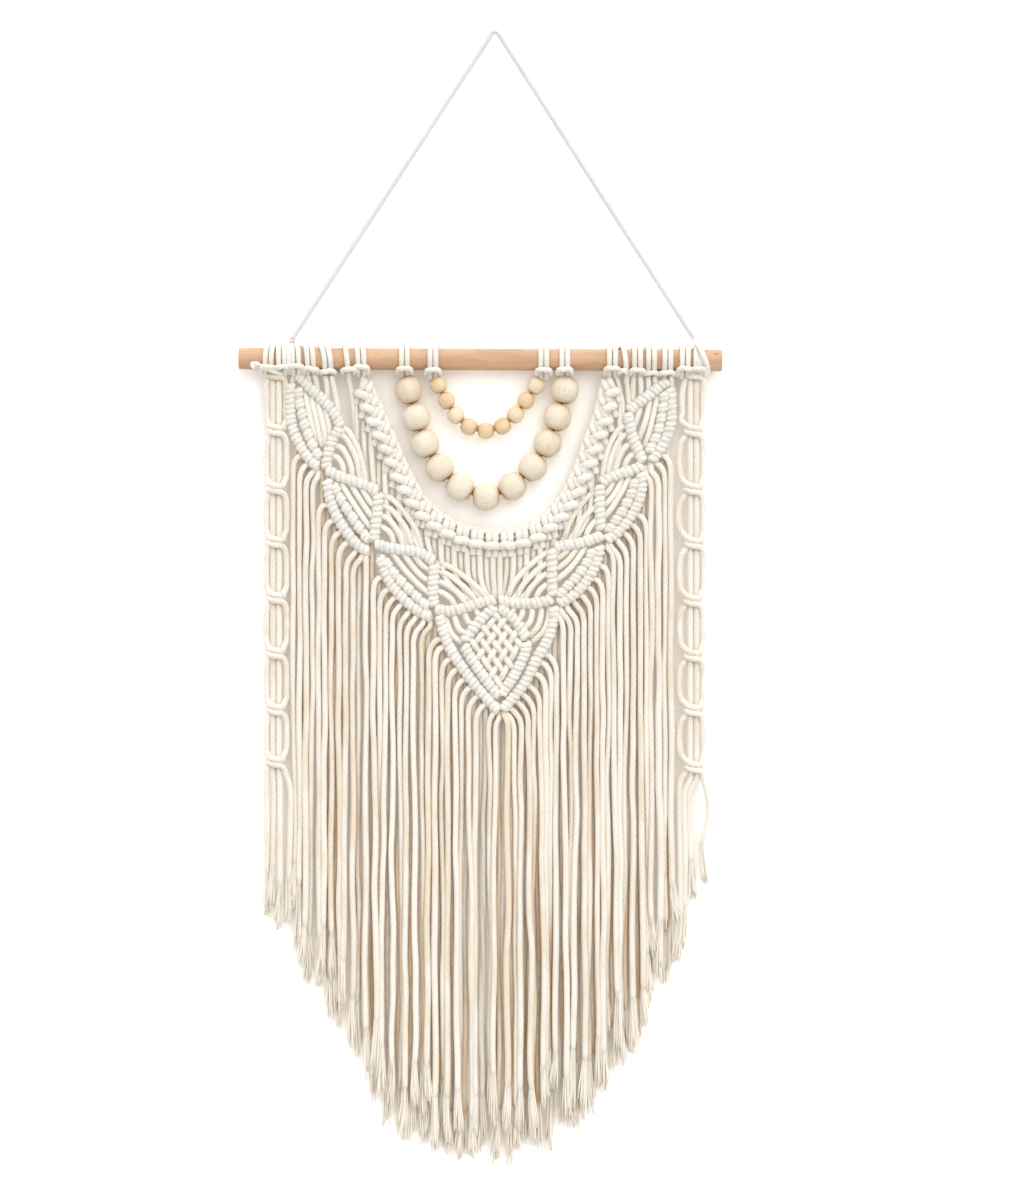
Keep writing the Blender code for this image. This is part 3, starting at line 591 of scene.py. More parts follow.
def cotton(name, pale, groove_shade_colour, warm, inside=(0.43, 0.31, 0.155)):
    """Undyed cotton: fine fibres along the cord, painted shade in the grooves between its plies, painted brown shade
    where it lies deep among others, and cords that differ a little."""
    mat, tree, bsdf = shader(name, Roughness=0.93)
    bsdf.inputs["Sheen Weight"].default_value = 0.28
    bsdf.inputs["Sheen Roughness"].default_value = 0.6
    bsdf.inputs["Sheen Tint"].default_value = (1.0, 0.96, 0.90, 1.0)
    bsdf.inputs["Specular IOR Level"].default_value = 0.18
    bsdf.inputs["Subsurface Weight"].default_value = 0.45
    bsdf.inputs["Subsurface Radius"].default_value = (1.0, 0.95, 0.88)
    bsdf.inputs["Subsurface Scale"].default_value = 0.0014
    link = tree.links.new
    fibre = node(tree, "ShaderNodeAttribute", attribute_name="fibre").outputs["Vector"]
    tint = node(tree, "ShaderNodeAttribute", attribute_name="tint").outputs["Fac"]
    deep = node(tree, "ShaderNodeAttribute", attribute_name="deep").outputs["Fac"]

    yarn = node(tree, "ShaderNodeTexNoise", Scale=1.0, Detail=3.0, Roughness=0.6)
    link(stretched(tree, fibre, (1.9, 1.9, 0.30)), yarn.inputs["Vector"])
    fuzz = node(tree, "ShaderNodeTexNoise", Scale=1.0, Detail=4.0, Roughness=0.7)
    link(stretched(tree, fibre, (3.4, 3.4, 2.2)), fuzz.inputs["Vector"])
    cloud = node(tree, "ShaderNodeTexNoise", Scale=1.0, Detail=2.0, Roughness=0.5)
    link(stretched(tree, fibre, (0.05, 0.05, 0.022)), cloud.inputs["Vector"])

    blend = node(tree, "ShaderNodeMath", operation="MULTIPLY_ADD")
    link(tint, blend.inputs[0])
    blend.inputs[1].default_value = 0.13
    link(cloud.outputs["Fac"], blend.inputs[2])
    colour = ramp(tree, blend.outputs[0], [(0.28, warm), (0.52, pale), (0.80, tuple(min(1.0, c * 1.05) for c in pale))])
    # painted shade in the grooves between the plies
    shade = node(tree, "ShaderNodeMath", operation="MULTIPLY")
    link(deep, shade.inputs[0])
    shade.inputs[1].default_value = 0.16
    groove_shaded = node(tree, "ShaderNodeMix", data_type="RGBA", blend_type="MIX")
    link(shade.outputs[0], groove_shaded.inputs["Factor"])
    link(colour, groove_shaded.inputs[6])
    groove_shaded.inputs[7].default_value = (*groove_shade_colour, 1.0)
    # painted shade: the colour goes towards the inside colour where the cord lies deep among others
    inner = node(tree, "ShaderNodeAttribute", attribute_name="hollow").outputs["Fac"]
    share = node(tree, "ShaderNodeMath", operation="MULTIPLY")
    link(inner, share.inputs[0])
    share.inputs[1].default_value = 0.86
    hollow_shaded = node(tree, "ShaderNodeMix", data_type="RGBA", blend_type="MIX")
    link(share.outputs[0], hollow_shaded.inputs["Factor"])
    link(groove_shaded.outputs[2], hollow_shaded.inputs[6])
    hollow_shaded.inputs[7].default_value = (*inside, 1.0)
    loose = node(tree, "ShaderNodeMix", data_type="RGBA", blend_type="MIX")
    link(node(tree, "ShaderNodeAttribute", attribute_name="combed").outputs["Fac"],
         loose.inputs["Factor"])
    link(hollow_shaded.outputs[2], loose.inputs[6])
    loose.inputs[7].default_value = (0.93, 0.85, 0.735, 1.0)
    streak = ramp(tree, yarn.outputs["Fac"], [(0.30, (0.92, 0.905, 0.88)), (0.60, (1.0, 1.0, 1.0))])
    final = node(tree, "ShaderNodeMix", data_type="RGBA", blend_type="MULTIPLY")
    final.inputs["Factor"].default_value = 1.0
    link(loose.outputs[2], final.inputs[6])
    link(streak, final.inputs[7])
    link(final.outputs[2], bsdf.inputs["Base Color"])

    height = node(tree, "ShaderNodeMath", operation="MULTIPLY_ADD")
    link(fuzz.outputs["Fac"], height.inputs[0])
    height.inputs[1].default_value = 0.45
    link(yarn.outputs["Fac"], height.inputs[2])
    bump = node(tree, "ShaderNodeBump", Strength=0.55, Distance=0.0005)
    link(height.outputs[0], bump.inputs["Height"])
    link(bump.outputs["Normal"], bsdf.inputs["Normal"])
    return mat


def wood(name, light, mid, dark, ring_scale, grain, rough, figure=0.35, crack=None, ends=None):
    """Bare turned wood: growth rings, fine pores along the grain and a
    slightly uneven sanded surface.  "grain" runs along the attribute's x."""
    mat, tree, bsdf = shader(name, Roughness=rough)
    bsdf.inputs["Specular IOR Level"].default_value = 0.35
    link = tree.links.new
    place = node(tree, "ShaderNodeAttribute", attribute_name="grain").outputs["Vector"]
    tint = node(tree, "ShaderNodeAttribute", attribute_name="tint").outputs["Fac"]

    sway = node(tree, "ShaderNodeTexNoise", Scale=1.0, Detail=2.0, Roughness=0.5)
    link(stretched(tree, place, (0.012, 0.07, 0.07)), sway.inputs["Vector"])
    moved = node(tree, "ShaderNodeVectorMath", operation="MULTIPLY_ADD")
    link(sway.outputs["Color"], moved.inputs[0])
    moved.inputs[1].default_value = (4.0, 4.0, 4.0)
    link(place, moved.inputs[2])
    rings = node(tree, "ShaderNodeTexWave", wave_type="RINGS", rings_direction="X",
                 wave_profile="SAW", Scale=ring_scale, Distortion=1.4, Detail=2.0)
    rings.inputs["Detail Scale"].default_value = 0.6
    link(stretched(tree, moved.outputs[0], (0.05, 1.0, 1.0)), rings.inputs["Vector"])
    pores = node(tree, "ShaderNodeTexNoise", Scale=1.0, Detail=4.0, Roughness=0.65)
    link(stretched(tree, place, grain), pores.inputs["Vector"])
    cloud = node(tree, "ShaderNodeTexNoise", Scale=1.0, Detail=2.0, Roughness=0.5)
    link(stretched(tree, place, (0.02, 0.09, 0.09)), cloud.inputs["Vector"])

    mix = node(tree, "ShaderNodeMath", operation="MULTIPLY_ADD")
    link(rings.outputs["Fac"], mix.inputs[0])
    mix.inputs[1].default_value = figure
    link(cloud.outputs["Fac"], mix.inputs[2])
    toned = node(tree, "ShaderNodeMath", operation="MULTIPLY_ADD")
    link(tint, toned.inputs[0])
    toned.inputs[1].default_value = 0.10
    link(mix.outputs[0], toned.inputs[2])
    colour = ramp(tree, toned.outputs[0], [(0.30, light), (0.62, mid), (1.0, dark)])
    # towards a bead's ends the colour goes browner: end grain, and painted shade where the beads meet
    if ends:
        pole = node(tree, "ShaderNodeAttribute", attribute_name="pole").outputs["Fac"]
        browner = node(tree, "ShaderNodeMix", data_type="RGBA", blend_type="MIX")
        link(pole, browner.inputs["Factor"])
        link(colour, browner.inputs[6])
        browner.inputs[7].default_value = (*ends, 1.0)
        colour = browner.outputs[2]
    fine = ramp(tree, pores.outputs["Fac"], [(0.33, (0.80, 0.74, 0.68)), (0.52, (1.0, 1.0, 1.0))])
    final = node(tree, "ShaderNodeMix", data_type="RGBA", blend_type="MULTIPLY")
    final.inputs["Factor"].default_value = 0.8
    link(colour, final.inputs[6])
    link(fine, final.inputs[7])
    link(final.outputs[2], bsdf.inputs["Base Color"])
    if crack:
        away = node(tree, "ShaderNodeVectorMath", operation="SUBTRACT")
        link(place, away.inputs[0])
        away.inputs[1].default_value = crack
        far = node(tree, "ShaderNodeVectorMath", operation="LENGTH")
        link(stretched(tree, away.outputs[0], (0.30, 0.35, 1.7)), far.inputs[0])
        seam = ramp(tree, far.outputs["Value"], [(0.55, (0.30, 0.20, 0.13)), (1.0, (1.0, 1.0, 1.0))])
        split = node(tree, "ShaderNodeMix", data_type="RGBA", blend_type="MULTIPLY")
        split.inputs["Factor"].default_value = 1.0
        link(final.outputs[2], split.inputs[6])
        link(seam, split.inputs[7])
        link(split.outputs[2], bsdf.inputs["Base Color"])
    rougher = node(tree, "ShaderNodeMapRange", From_Min=0.3, From_Max=0.7,
                   To_Min=rough - 0.08, To_Max=rough + 0.12)
    link(pores.outputs["Fac"], rougher.inputs["Value"])
    link(rougher.outputs["Result"], bsdf.inputs["Roughness"])
    bump = node(tree, "ShaderNodeBump", Strength=0.35, Distance=0.0003)
    link(pores.outputs["Fac"], bump.inputs["Height"])
    link(bump.outputs["Normal"], bsdf.inputs["Normal"])
    return mat


# the inside colours are painted shade for cords lying deep among others
COTTON = cotton("natural cotton cord", (0.875, 0.85, 0.80), (0.70, 0.61, 0.48), (0.86, 0.805, 0.715))
COTTON_FRINGE = cotton("fringe cotton", (0.86, 0.82, 0.755), (0.64, 0.53, 0.39), (0.81, 0.71, 0.575),
                       inside=(0.58, 0.345, 0.13))
COTTON_LIGHT = cotton("hanging cord cotton", (0.75, 0.725, 0.73), (0.62, 0.59, 0.59), (0.73, 0.70, 0.70))
DOWEL_WOOD = wood("dowel wood", (0.695, 0.468, 0.308), (0.622, 0.395, 0.248), (0.475, 0.285, 0.165),
                  0.9, (0.06, 1.6, 1.6), 0.55, crack=(419.4, 10.6, 19.4))
PALE_WOOD = wood("pale bead wood", (0.83, 0.77, 0.66), (0.80, 0.71, 0.575), (0.71, 0.57, 0.40),
                 0.55, (0.12, 1.4, 1.4), 0.58, figure=0.25, ends=(0.62, 0.42, 0.22))
HONEY_WOOD = wood("honey bead wood", (0.85, 0.735, 0.55), (0.81, 0.655, 0.43), (0.67, 0.47, 0.26),
                  0.8, (0.12, 1.6, 1.6), 0.52, figure=0.30, ends=(0.66, 0.38, 0.15))


# -------------------------------------------------------- camera and light
centre = to_world([(512.0, 590.0, 0.0)])[0]
view_height = 1180 * UNIT
lens = 100.0
data = bpy.data.cameras.new("camera")
data.lens = lens
data.sensor_width = 36.0
camera = bpy.data.objects.new("camera", data)
camera.location = (centre[0], -view_height * lens / 36.0, centre[2])
camera.rotation_euler = (math.pi / 2, 0.0, 0.0)
bpy.context.scene.collection.objects.link(camera)
bpy.context.scene.camera = camera
bpy.context.scene.view_settings.view_transform = "Standard"


def sun(name, towards, strength, degrees, colour=(1.0, 1.0, 1.0)):
    """A wide soft light from one side, as from a big window."""
    lamp = bpy.data.lights.new(name, "SUN")
    lamp.energy, lamp.angle, lamp.color = strength, math.radians(degrees), colour
    obj = bpy.data.objects.new(name, lamp)
    obj.rotation_euler = Vector(towards).to_track_quat("-Z", "Y").to_euler()
    bpy.context.scene.collection.objects.link(obj)


sun("key light", (-0.22, 0.90, -0.40), 1.15, 46.0, (1.0, 0.99, 0.97))
sun("top light", (-0.05, 0.34, -0.94), 0.45, 50.0)
sun("back light", (0.2, -1.0, -0.35), 1.35, 60.0)

world = bpy.data.worlds.new("studio")
world.use_nodes = True
bpy.context.scene.world = world
tree = world.node_tree
plain = tree.nodes["Background"]
plain.inputs["Color"].default_value = (1.0, 0.995, 0.985, 1.0)
# more light from the ceiling than from the floor
way = node(tree, "ShaderNodeTexCoord")
split = node(tree, "ShaderNodeSeparateXYZ")
tree.links.new(way.outputs["Generated"], split.inputs[0])
fall = node(tree, "ShaderNodeMapRange", From_Min=-1.0, From_Max=1.0, To_Min=0.30, To_Max=1.31)
tree.links.new(split.outputs["Z"], fall.inputs["Value"])
tree.links.new(fall.outputs["Result"], plain.inputs["Strength"])
white = node(tree, "ShaderNodeBackground")
white.inputs["Color"].default_value = (1.0, 1.0, 1.0, 1.0)
white.inputs["Strength"].default_value = 0.93
sight = node(tree, "ShaderNodeLightPath")
both = node(tree, "ShaderNodeMixShader")
tree.links.new(sight.outputs["Is Camera Ray"], both.inputs["Fac"])
tree.links.new(plain.outputs[0], both.inputs[1])
tree.links.new(white.outputs[0], both.inputs[2])
tree.links.new(both.outputs[0], tree.nodes["World Output"].inputs["Surface"])


def studio_plane(name, corners, look):
    mesh = bpy.data.meshes.new(name)
    mesh.from_pydata(corners, [], [tuple(range(len(corners)))])
    mesh.materials.append(look)
    plane = bpy.data.objects.new(name, mesh)
    bpy.context.scene.collection.objects.link(plane)
    plane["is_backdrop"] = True
    return plane


paint, _, coat = shader("pale floor", Roughness=0.85)
coat.inputs["Base Color"].default_value = (0.54, 0.54, 0.535, 1.0)
studio_plane("floor", [(1.6 * math.cos(a), 1.6 * math.sin(a), -1.33)
                       for a in np.linspace(0, 2 * math.pi, 97)[:-1]], paint)
# the lit paper behind the hanging has a front only, so from the back it isn't
# there, and light from behind passes it once
sheet, tree, coat = shader("backdrop paper", Roughness=0.95)
near = node(tree, "ShaderNodeAmbientOcclusion", samples=4)
near.inputs["Distance"].default_value = 0.045
# painted shade: the backdrop's colour goes brown where cords lie close in front of it, found by ambient occlusion
tree.links.new(ramp(tree, near.outputs["AO"], [(0.15, (0.56, 0.42, 0.24)), (0.36, (0.965, 0.96, 0.95))]),
               coat.inputs["Base Color"])
coat.inputs["Emission Color"].default_value = (1.0, 1.0, 1.0, 1.0)
coat.inputs["Emission Strength"].default_value = 0.20
coat.inputs["Specular IOR Level"].default_value = 0.0
side = node(tree, "ShaderNodeNewGeometry")
sight = node(tree, "ShaderNodeLightPath")
first = node(tree, "ShaderNodeMath", operation="LESS_THAN")
tree.links.new(sight.outputs["Diffuse Depth"], first.inputs[0])
first.inputs[1].default_value = 0.5
lit = node(tree, "ShaderNodeMath", operation="MULTIPLY")
tree.links.new(first.outputs[0], lit.inputs[0])
tree.links.new(sight.outputs["Is Shadow Ray"], lit.inputs[1])
open_side = node(tree, "ShaderNodeMath", operation="MAXIMUM")
tree.links.new(side.outputs["Backfacing"], open_side.inputs[0])
tree.links.new(lit.outputs[0], open_side.inputs[1])
clear = node(tree, "ShaderNodeBsdfTransparent")
both = node(tree, "ShaderNodeMixShader")
tree.links.new(open_side.outputs[0], both.inputs["Fac"])
tree.links.new(coat.outputs[0], both.inputs[1])
tree.links.new(clear.outputs[0], both.inputs[2])
tree.links.new(both.outputs[0], tree.nodes["Material Output"].inputs["Surface"])
BACK = 0.0160
studio_plane("backdrop", [(-1.5, BACK, -1.33), (1.5, BACK, -1.33), (1.5, BACK, 0.95),
                          (-1.5, BACK, 0.95)], sheet)

# ------------------------------------------------------ hanging cord, strings
MM = 1000.0


def declared_cord(name, points, pieces, radius, look, replaced, **facts):
    store = Cords(name)
    path = np.concatenate([smooth(raised(part), 1.2)[:-1] for part in points[:-1]]
                          + [smooth(raised(points[-1]), 1.2)])
    store.rope(path, radius, step=2.0, tint=0.3, sides=12)
    # painted shade all along a bead string, standing in for the shade inside its beads
    piece = store.build(look, np.full(store.used, 0.9) if pieces else None)
    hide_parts(replaced)
    line = to_world(even(path, 2.0))
    return piece, length_of(line)


hanger, hanger_length = declared_cord(
    "hanging_cord", [HANGER[:3], HANGER[2:7], HANGER[6:]], (), CORD_R, COTTON_LIGHT,
    "hanger_cord", stiffness="limp", lay="taut")


# -------------------------------------------------------------------- beads
def bead_places(line, count):
    """Even places along a string, from its second point to the last but one."""
    fine = smooth(raised(line), 0.5)
    start = int(np.argmin(np.linalg.norm(fine[:, :2] - line[1], axis=1)))

    def walk(chord):
        places, i = [start], start
        while len(places) < count and i < len(fine) - 1:
            while i < len(fine) - 1 and np.linalg.norm(fine[i] - fine[places[-1]]) < chord:
                i += 1
            places.append(i)
        return places

    low, high = 5.0, 60.0
    for _ in range(40):
        middle = (low + high) / 2
        places = walk(middle)
        short = (len(places) == count and places[-1] < len(fine) - 1
                 and fine[places[-1]][0] < line[-2][0])
        low, high = (middle, high) if short else (low, middle)
    rows = []
    for i in walk(low):
        ahead = fine[min(i + 8, len(fine) - 1)] - fine[max(i - 8, 0)]
        rows.append((fine[i], ahead / np.linalg.norm(ahead)))
    return rows


def bead(name, place, ahead, diameter, hole, look, squash, tint, barrel):
    """A turned wooden bead with a drilled, slightly eased hole."""
    radius, bore = diameter / 2, hole / 2
    top = math.sqrt(radius ** 2 - bore ** 2) * squash
    outer = []
    for t in np.linspace(1.0, -1.0, 27):
        ball = math.sqrt(max(0.0, radius ** 2 - (t * top / squash) ** 2))
        keg = radius * (1.0 - 0.30 * abs(t) ** 2.6)
        outer.append(((ball + (keg - ball) * barrel) * (1.0 - 0.02 * abs(t) ** 16), t * top * 0.995))
    inner = [(bore * 1.02, -top * 0.965), (bore * 0.97, -top * 0.86), (bore * 0.96, 0.0),
             (bore * 0.97, top * 0.86), (bore * 1.02, top * 0.965)]
    profile = np.array(outer + inner)
    steps = 40
    a = 2 * np.pi * np.arange(steps) / steps
    local = np.stack([profile[:, 0][None] * np.cos(a)[:, None],
                      profile[:, 0][None] * np.sin(a)[:, None],
                      np.repeat(profile[:, 1][None], steps, 0)], -1)
    wobble = 1 + 0.006 * np.sin(2 * a + tint)[:, None, None]
    local = local * wobble
    rows = len(profile)
    grid = np.arange(steps * rows).reshape(steps, rows)
    nxt, up = np.roll(grid, -1, 0), np.roll(grid, -1, 1)
    faces = np.stack([grid, up, np.roll(nxt, -1, 1), nxt], -1).reshape(-1, 4)[:, ::-1]
    z = np.asarray(ahead)
    x = np.array([0.0, 0.0, 1.0])
    y = np.cross(z, x)
    flat = local.reshape(-1, 3)
    points = np.asarray(place) + flat[:, :1] * x + flat[:, 1:2] * y + flat[:, 2:] * z
    mesh = bpy.data.meshes.new(name)
    mesh.from_pydata(to_world(points).tolist(), [], faces.tolist())
    mesh.validate()
    turn = rng.random() * 2 * np.pi
    c, s = math.cos(turn), math.sin(turn)
    grain = np.stack([flat[:, 2] * 0.6 + flat[:, 0] * 0.8 * c, flat[:, 0] * s + flat[:, 1] * c,
                      flat[:, 1] * s - flat[:, 0] * c * 0.6], 1) * UNIT * MM
    give(mesh, "grain", "FLOAT_VECTOR", grain + rng.random(3) * 300)
    give(mesh, "tint", "FLOAT", np.full(len(flat), tint))
    # pole: how near a point is to the bead's ends, for the browner colour there, which is end grain and painted shade
    # where beads meet
    give(mesh, "pole", "FLOAT", 0.75 * np.clip(np.abs(flat[:, 2]) / top / 0.42 - 1.3, 0, 1) ** 1.6)
    mesh.shade_smooth()
    mesh.materials.append(look)
    obj = bpy.data.objects.new(name, mesh)
    bpy.context.scene.collection.objects.link(obj)
    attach(obj, "root")
    return obj


def string_of_beads(kind, line, count, diameter, hole, look, squash, barrel):
    made = []
    for number, (place, ahead) in enumerate(bead_places(line, count), 1):
        obj = bead(f"{kind}_bead_{number:02d}", place, ahead, diameter, hole, look, squash,
                   rng.normal(0, 1), barrel)
        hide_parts(f"bead_{kind}_{number:02d}")
        made.append(obj)
    return made


big_beads = string_of_beads("large", STRING_BIG, BEAD_BIG_COUNT, BEAD_BIG_D, BEAD_BIG_HOLE,
                            PALE_WOOD, 1.03, 0.12)
small_beads = string_of_beads("small", STRING_SMALL, BEAD_SMALL_COUNT, BEAD_SMALL_D,
                              BEAD_SMALL_HOLE, HONEY_WOOD, 1.03, 0.4)
string_big, big_length = declared_cord(
    "large_bead_string", [STRING_BIG], big_beads, STRING_R, COTTON, "bead_string_large",
    stiffness="limp", lay="hanging")
string_small, small_length = declared_cord(
    "small_bead_string", [STRING_SMALL], small_beads, STRING_R, COTTON, "bead_string_small",
    stiffness="limp", lay="hanging")


# -------------------------------------------------------------------- dowel
def build_dowel():
    a = np.array([*DOWEL_ENDS[0], 0.0])
    b = np.array([*DOWEL_ENDS[1], 0.0])
    total = np.linalg.norm(b - a)
    ease = 1.36
    profile = [(0.0, 0.0), (4.0, 0.0), (8.0, 0.02), (DOWEL_R - ease, 0.05)]
    profile += [(DOWEL_R - ease + ease * math.sin(t), 0.05 + ease * (1 - math.cos(t)))
                for t in np.linspace(0.35, math.pi / 2, 5)]
    body = [(DOWEL_R, s) for s in np.linspace(6.0, total - 6.0, 80)]
    profile = np.array(profile + body + [(r, total - s) for r, s in profile[::-1]])
    steps = 64
    ang = 2 * np.pi * np.arange(steps) / steps
    z = (b - a) / total
    x = np.array([0.0, 0.0, 1.0])
    y = np.cross(z, x)
    rings = profile[1:-1]
    uneven = 1 + 0.004 * np.sin(rings[:, 1] * 0.045 + 1.0)[None] * np.cos(ang + 0.4)[:, None]
    r = rings[:, 0][None] * uneven
    local = np.stack([r * np.cos(ang)[:, None], r * np.sin(ang)[:, None],
                      np.repeat(rings[:, 1][None], steps, 0)], -1)
    flat = np.concatenate([local.reshape(-1, 3), [[0, 0, 0.0], [0, 0, total]]])
    points = a + flat[:, :1] * x + flat[:, 1:2] * y + flat[:, 2:] * z
    rows = len(rings)
    grid = np.arange(steps * rows).reshape(steps, rows)
    nxt = np.roll(grid, -1, 0)
    faces = np.stack([grid[:, :-1], nxt[:, :-1], nxt[:, 1:], grid[:, 1:]], -1).reshape(-1, 4).tolist()
    n = steps * rows
    faces += [(int(nxt[i, 0]), int(grid[i, 0]), n) for i in range(steps)]
    faces += [(int(grid[i, -1]), int(nxt[i, -1]), n + 1) for i in range(steps)]
    mesh = bpy.data.meshes.new("dowel_turned")
    mesh.from_pydata(to_world(points).tolist(), [], faces)
    mesh.validate()
    give(mesh, "grain", "FLOAT_VECTOR",
         np.stack([flat[:, 2], flat[:, 0] + 3.0, flat[:, 1] + 16.0], 1) * UNIT * MM)
    give(mesh, "tint", "FLOAT", np.zeros(len(flat)))
    mesh.shade_smooth()
    mesh.materials.append(DOWEL_WOOD)
    obj = bpy.data.objects.new("dowel_turned", mesh)
    bpy.context.scene.collection.objects.link(obj)
    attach(obj, "root")
    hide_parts("dowel")
    return obj


build_dowel()


def dowel_v(u):
    (u0, v0), (u1, v1) = DOWEL_ENDS
    return v0 + (v1 - v0) * (u - u0) / (u1 - u0)


# ------------------------------------------------------- knots on the dowel
loops = Cords("dowel_knots")
for h in HEADS:
    head(loops, (h.u, dowel_v(h.u), 0.0), (1, 0, 0), (0, 1, 0), DOWEL_R, h.bar, h.half,
         lean=h.lean, r=2.7)
# single cords looped once over the dowel, each with a bar of its own
for u, bar_left, bar_right in ((346.8, 341.5, 359.5), (624.3, 617.0, 627.0)):
    v = dowel_v(u)
    line = [(u + 2.0, v + 24, 0.6), (u + 2.5, v + 16, 4.5), (u + 1.5, v + 9.5, 9.6)]
    line += [(u + 1.5 - (a - 60) * 0.03, v + 13.6 * math.cos(math.radians(a)),
              13.6 * math.sin(math.radians(a))) for a in (70, 100, 140, 180, 225, 270, 320)]
    line += [(bar_left + 1.5, v + 13.4, 3.0), (bar_left + 1.5, v + 12.2, 9.5),
             (u, v + 11.2, 14.4), (bar_right - 3.0, v + 11.4, 14.0),
             (bar_right - 0.6, v + 13.0, 8.0), (bar_right - 2.0, v + 15.5, 1.0)]
    loops.rope(smooth(line, 1.0), 2.7, step=1.7, lay=13.0)
# the hanging cord's two ties: at the left it goes over the back and comes out
# low in front, with a small knot at its end, and at the right it crosses down
# the front
for points in ([(292.2, 338.6, 0), (291.8, 343.0, -5.0), (291.4, 348.0, -12.6), (291.0, 359.5, -16.0),
                (289.5, 370.0, -11.0), (285.5, 374.5, -1.0), (279.0, 373.5, 9.0),
                (270.0, 370.0, 13.6), (262.0, 367.4, 14.2), (257.0, 366.0, 13.4)],
               [(694.6, 338.9, 0), (696.6, 343.6, 6.0), (699.4, 349.5, 15.6), (702.8, 358.0, 17.6),
                (706.0, 366.0, 13.0), (707.0, 371.6, 5.0), (704.0, 374.6, -2.0)]):
    loops.rope(smooth(points, 1.0), 2.75, step=1.7, lay=14.0, tint=0.8)
turns = np.linspace(0, 1, 61)
loops.rope(np.stack([256.2 - 3.0 * np.sin(turns * 2.2 * np.pi) + 1.5 * turns,
                     366.4 + 1.9 * np.cos(turns * 2.2 * np.pi * 1.5),
                     13.6 + 2.6 * np.cos(turns * 2.2 * np.pi)], 1), 2.3, step=1.5, tint=0.8)
for u in (288.6, 697.4):
    v = dowel_v(u)
    ring = [(u + 1.2 * math.sin(math.radians(a)), v - 13.5 * math.cos(math.radians(a)),
             13.5 * math.sin(math.radians(a))) for a in range(0, 361, 24)]
    loops.rope(smooth(ring, 1.0), 2.6, step=1.7, lay=14.0, tint=0.8)

# ----------------------------------------------------------------- neckline
band = Cords("neckline_knots")
carrier = shifted(smooth(raised(NECKLINE), 1.0), 8.0)
band.rope(carrier, 2.7, step=2.2)
# the cord that lies along the inner edge
band.rope(shifted(smooth(raised(NECKLINE), 1.0), 2.1)[4:-4] + [0.0, 0.0, 3.0], 2.9, step=2.2)
total = length_of(carrier)
count = 29
side = side_of(carrier)
BARS = []
for i in range(count):
    s = total * (i + 0.55) / count
    here = along(carrier, s)
    k = min(len(carrier) - 1, int(round(s / total * (len(carrier) - 1))))
    out = side[k].copy()
    fall = np.array([0.0, 1.0, 0.0])
    down = out * 0.36 + fall * 0.64
    down /= np.linalg.norm(down)
    x = np.array([down[1], -down[0], 0.0])
    head(band, here, x, down, 2.4, 7.6 + rng.normal(0, 0.3), 3.2, r=3.6, wide=1.6, proud=1.45,
         tint=rng.normal(0, 0.4), thick=[3.5] * 4 + [4.35] * 2 + [3.5] * 4)
    BARS.append(here + down * 8.5)
BARS = np.array(BARS)


# ---------------------------------------------------------------------- net
def under_neck(u):
    """Height on the drawing of the neckline's knots at u."""
    return float(np.interp(u, BARS[:, 0], BARS[:, 1]))


left, middle, right = Cords("net_left_knots"), Cords("net_middle_knots"), Cords("net_right_knots")
for name, points in RIDGES.items():
    store = right if name.endswith("2") and name != "j2" else \
        middle if name in ("j", "j2", "vl", "vr", "nw", "sw", "ne", "se") else left
    ridge(store, points, w=0.9 if name in ("nw", "sw", "ne", "se") else 0.6)
for name, points in BUMPS.items():
    store = right if name.endswith("2") else left
    ridge(store, points, w=1.6, reach=5.1, wrap=3.1, knot=10.4, bulge=0.8, pair=0.30,
          core=3.7)
for name, strands in {**FILLERS, **ARCHES}.items():
    store = right if name.endswith("r") and not name.startswith(("h", "corner")) else \
        middle if name[0] == "j" or name.startswith(("h", "corner")) else left
    for points in strands:
        deep = [-3.4] + [0.2 + rng.normal(0, 0.3)] * (len(points) - 2) + [-3.6]
        store.rope(smooth([(u, v, w) for (u, v), w in zip(points, deep)], 1.0), 3.02,
                   step=2.1)


def ridge_v(name, u):
    line = sorted(RIDGES[name])
    return level(line, u)


for drop in DROPS:
    store = {"c": left, "g": left, "j": middle, "j2": middle, "g2": right, "c2": right}[drop.ridge]
    for i in range(drop.count):
        f = i / (drop.count - 1)
        u = drop.first + (drop.last - drop.first) * f
        land = drop.land_first + (drop.land_last - drop.land_first) * f
        top, low = under_neck(u), ridge_v(drop.ridge, land)
        back = -1.5 - 3.4 * (i % 2)
        bend = 0.5 if abs(land - u) < 6 else 0.62
        points = [(u, top - 1, -2.5), (u, top + 8, back * 0.6),
                  (u + (land - u) * 0.10, top + (low - top) * bend, back),
                  (u + (land - u) * 0.55, top + (low - top) * (bend + 0.26), back - 0.6),
                  (land, low, -3.8)]
        store.rope(smooth(points, 1.0), 2.92, step=2.1)

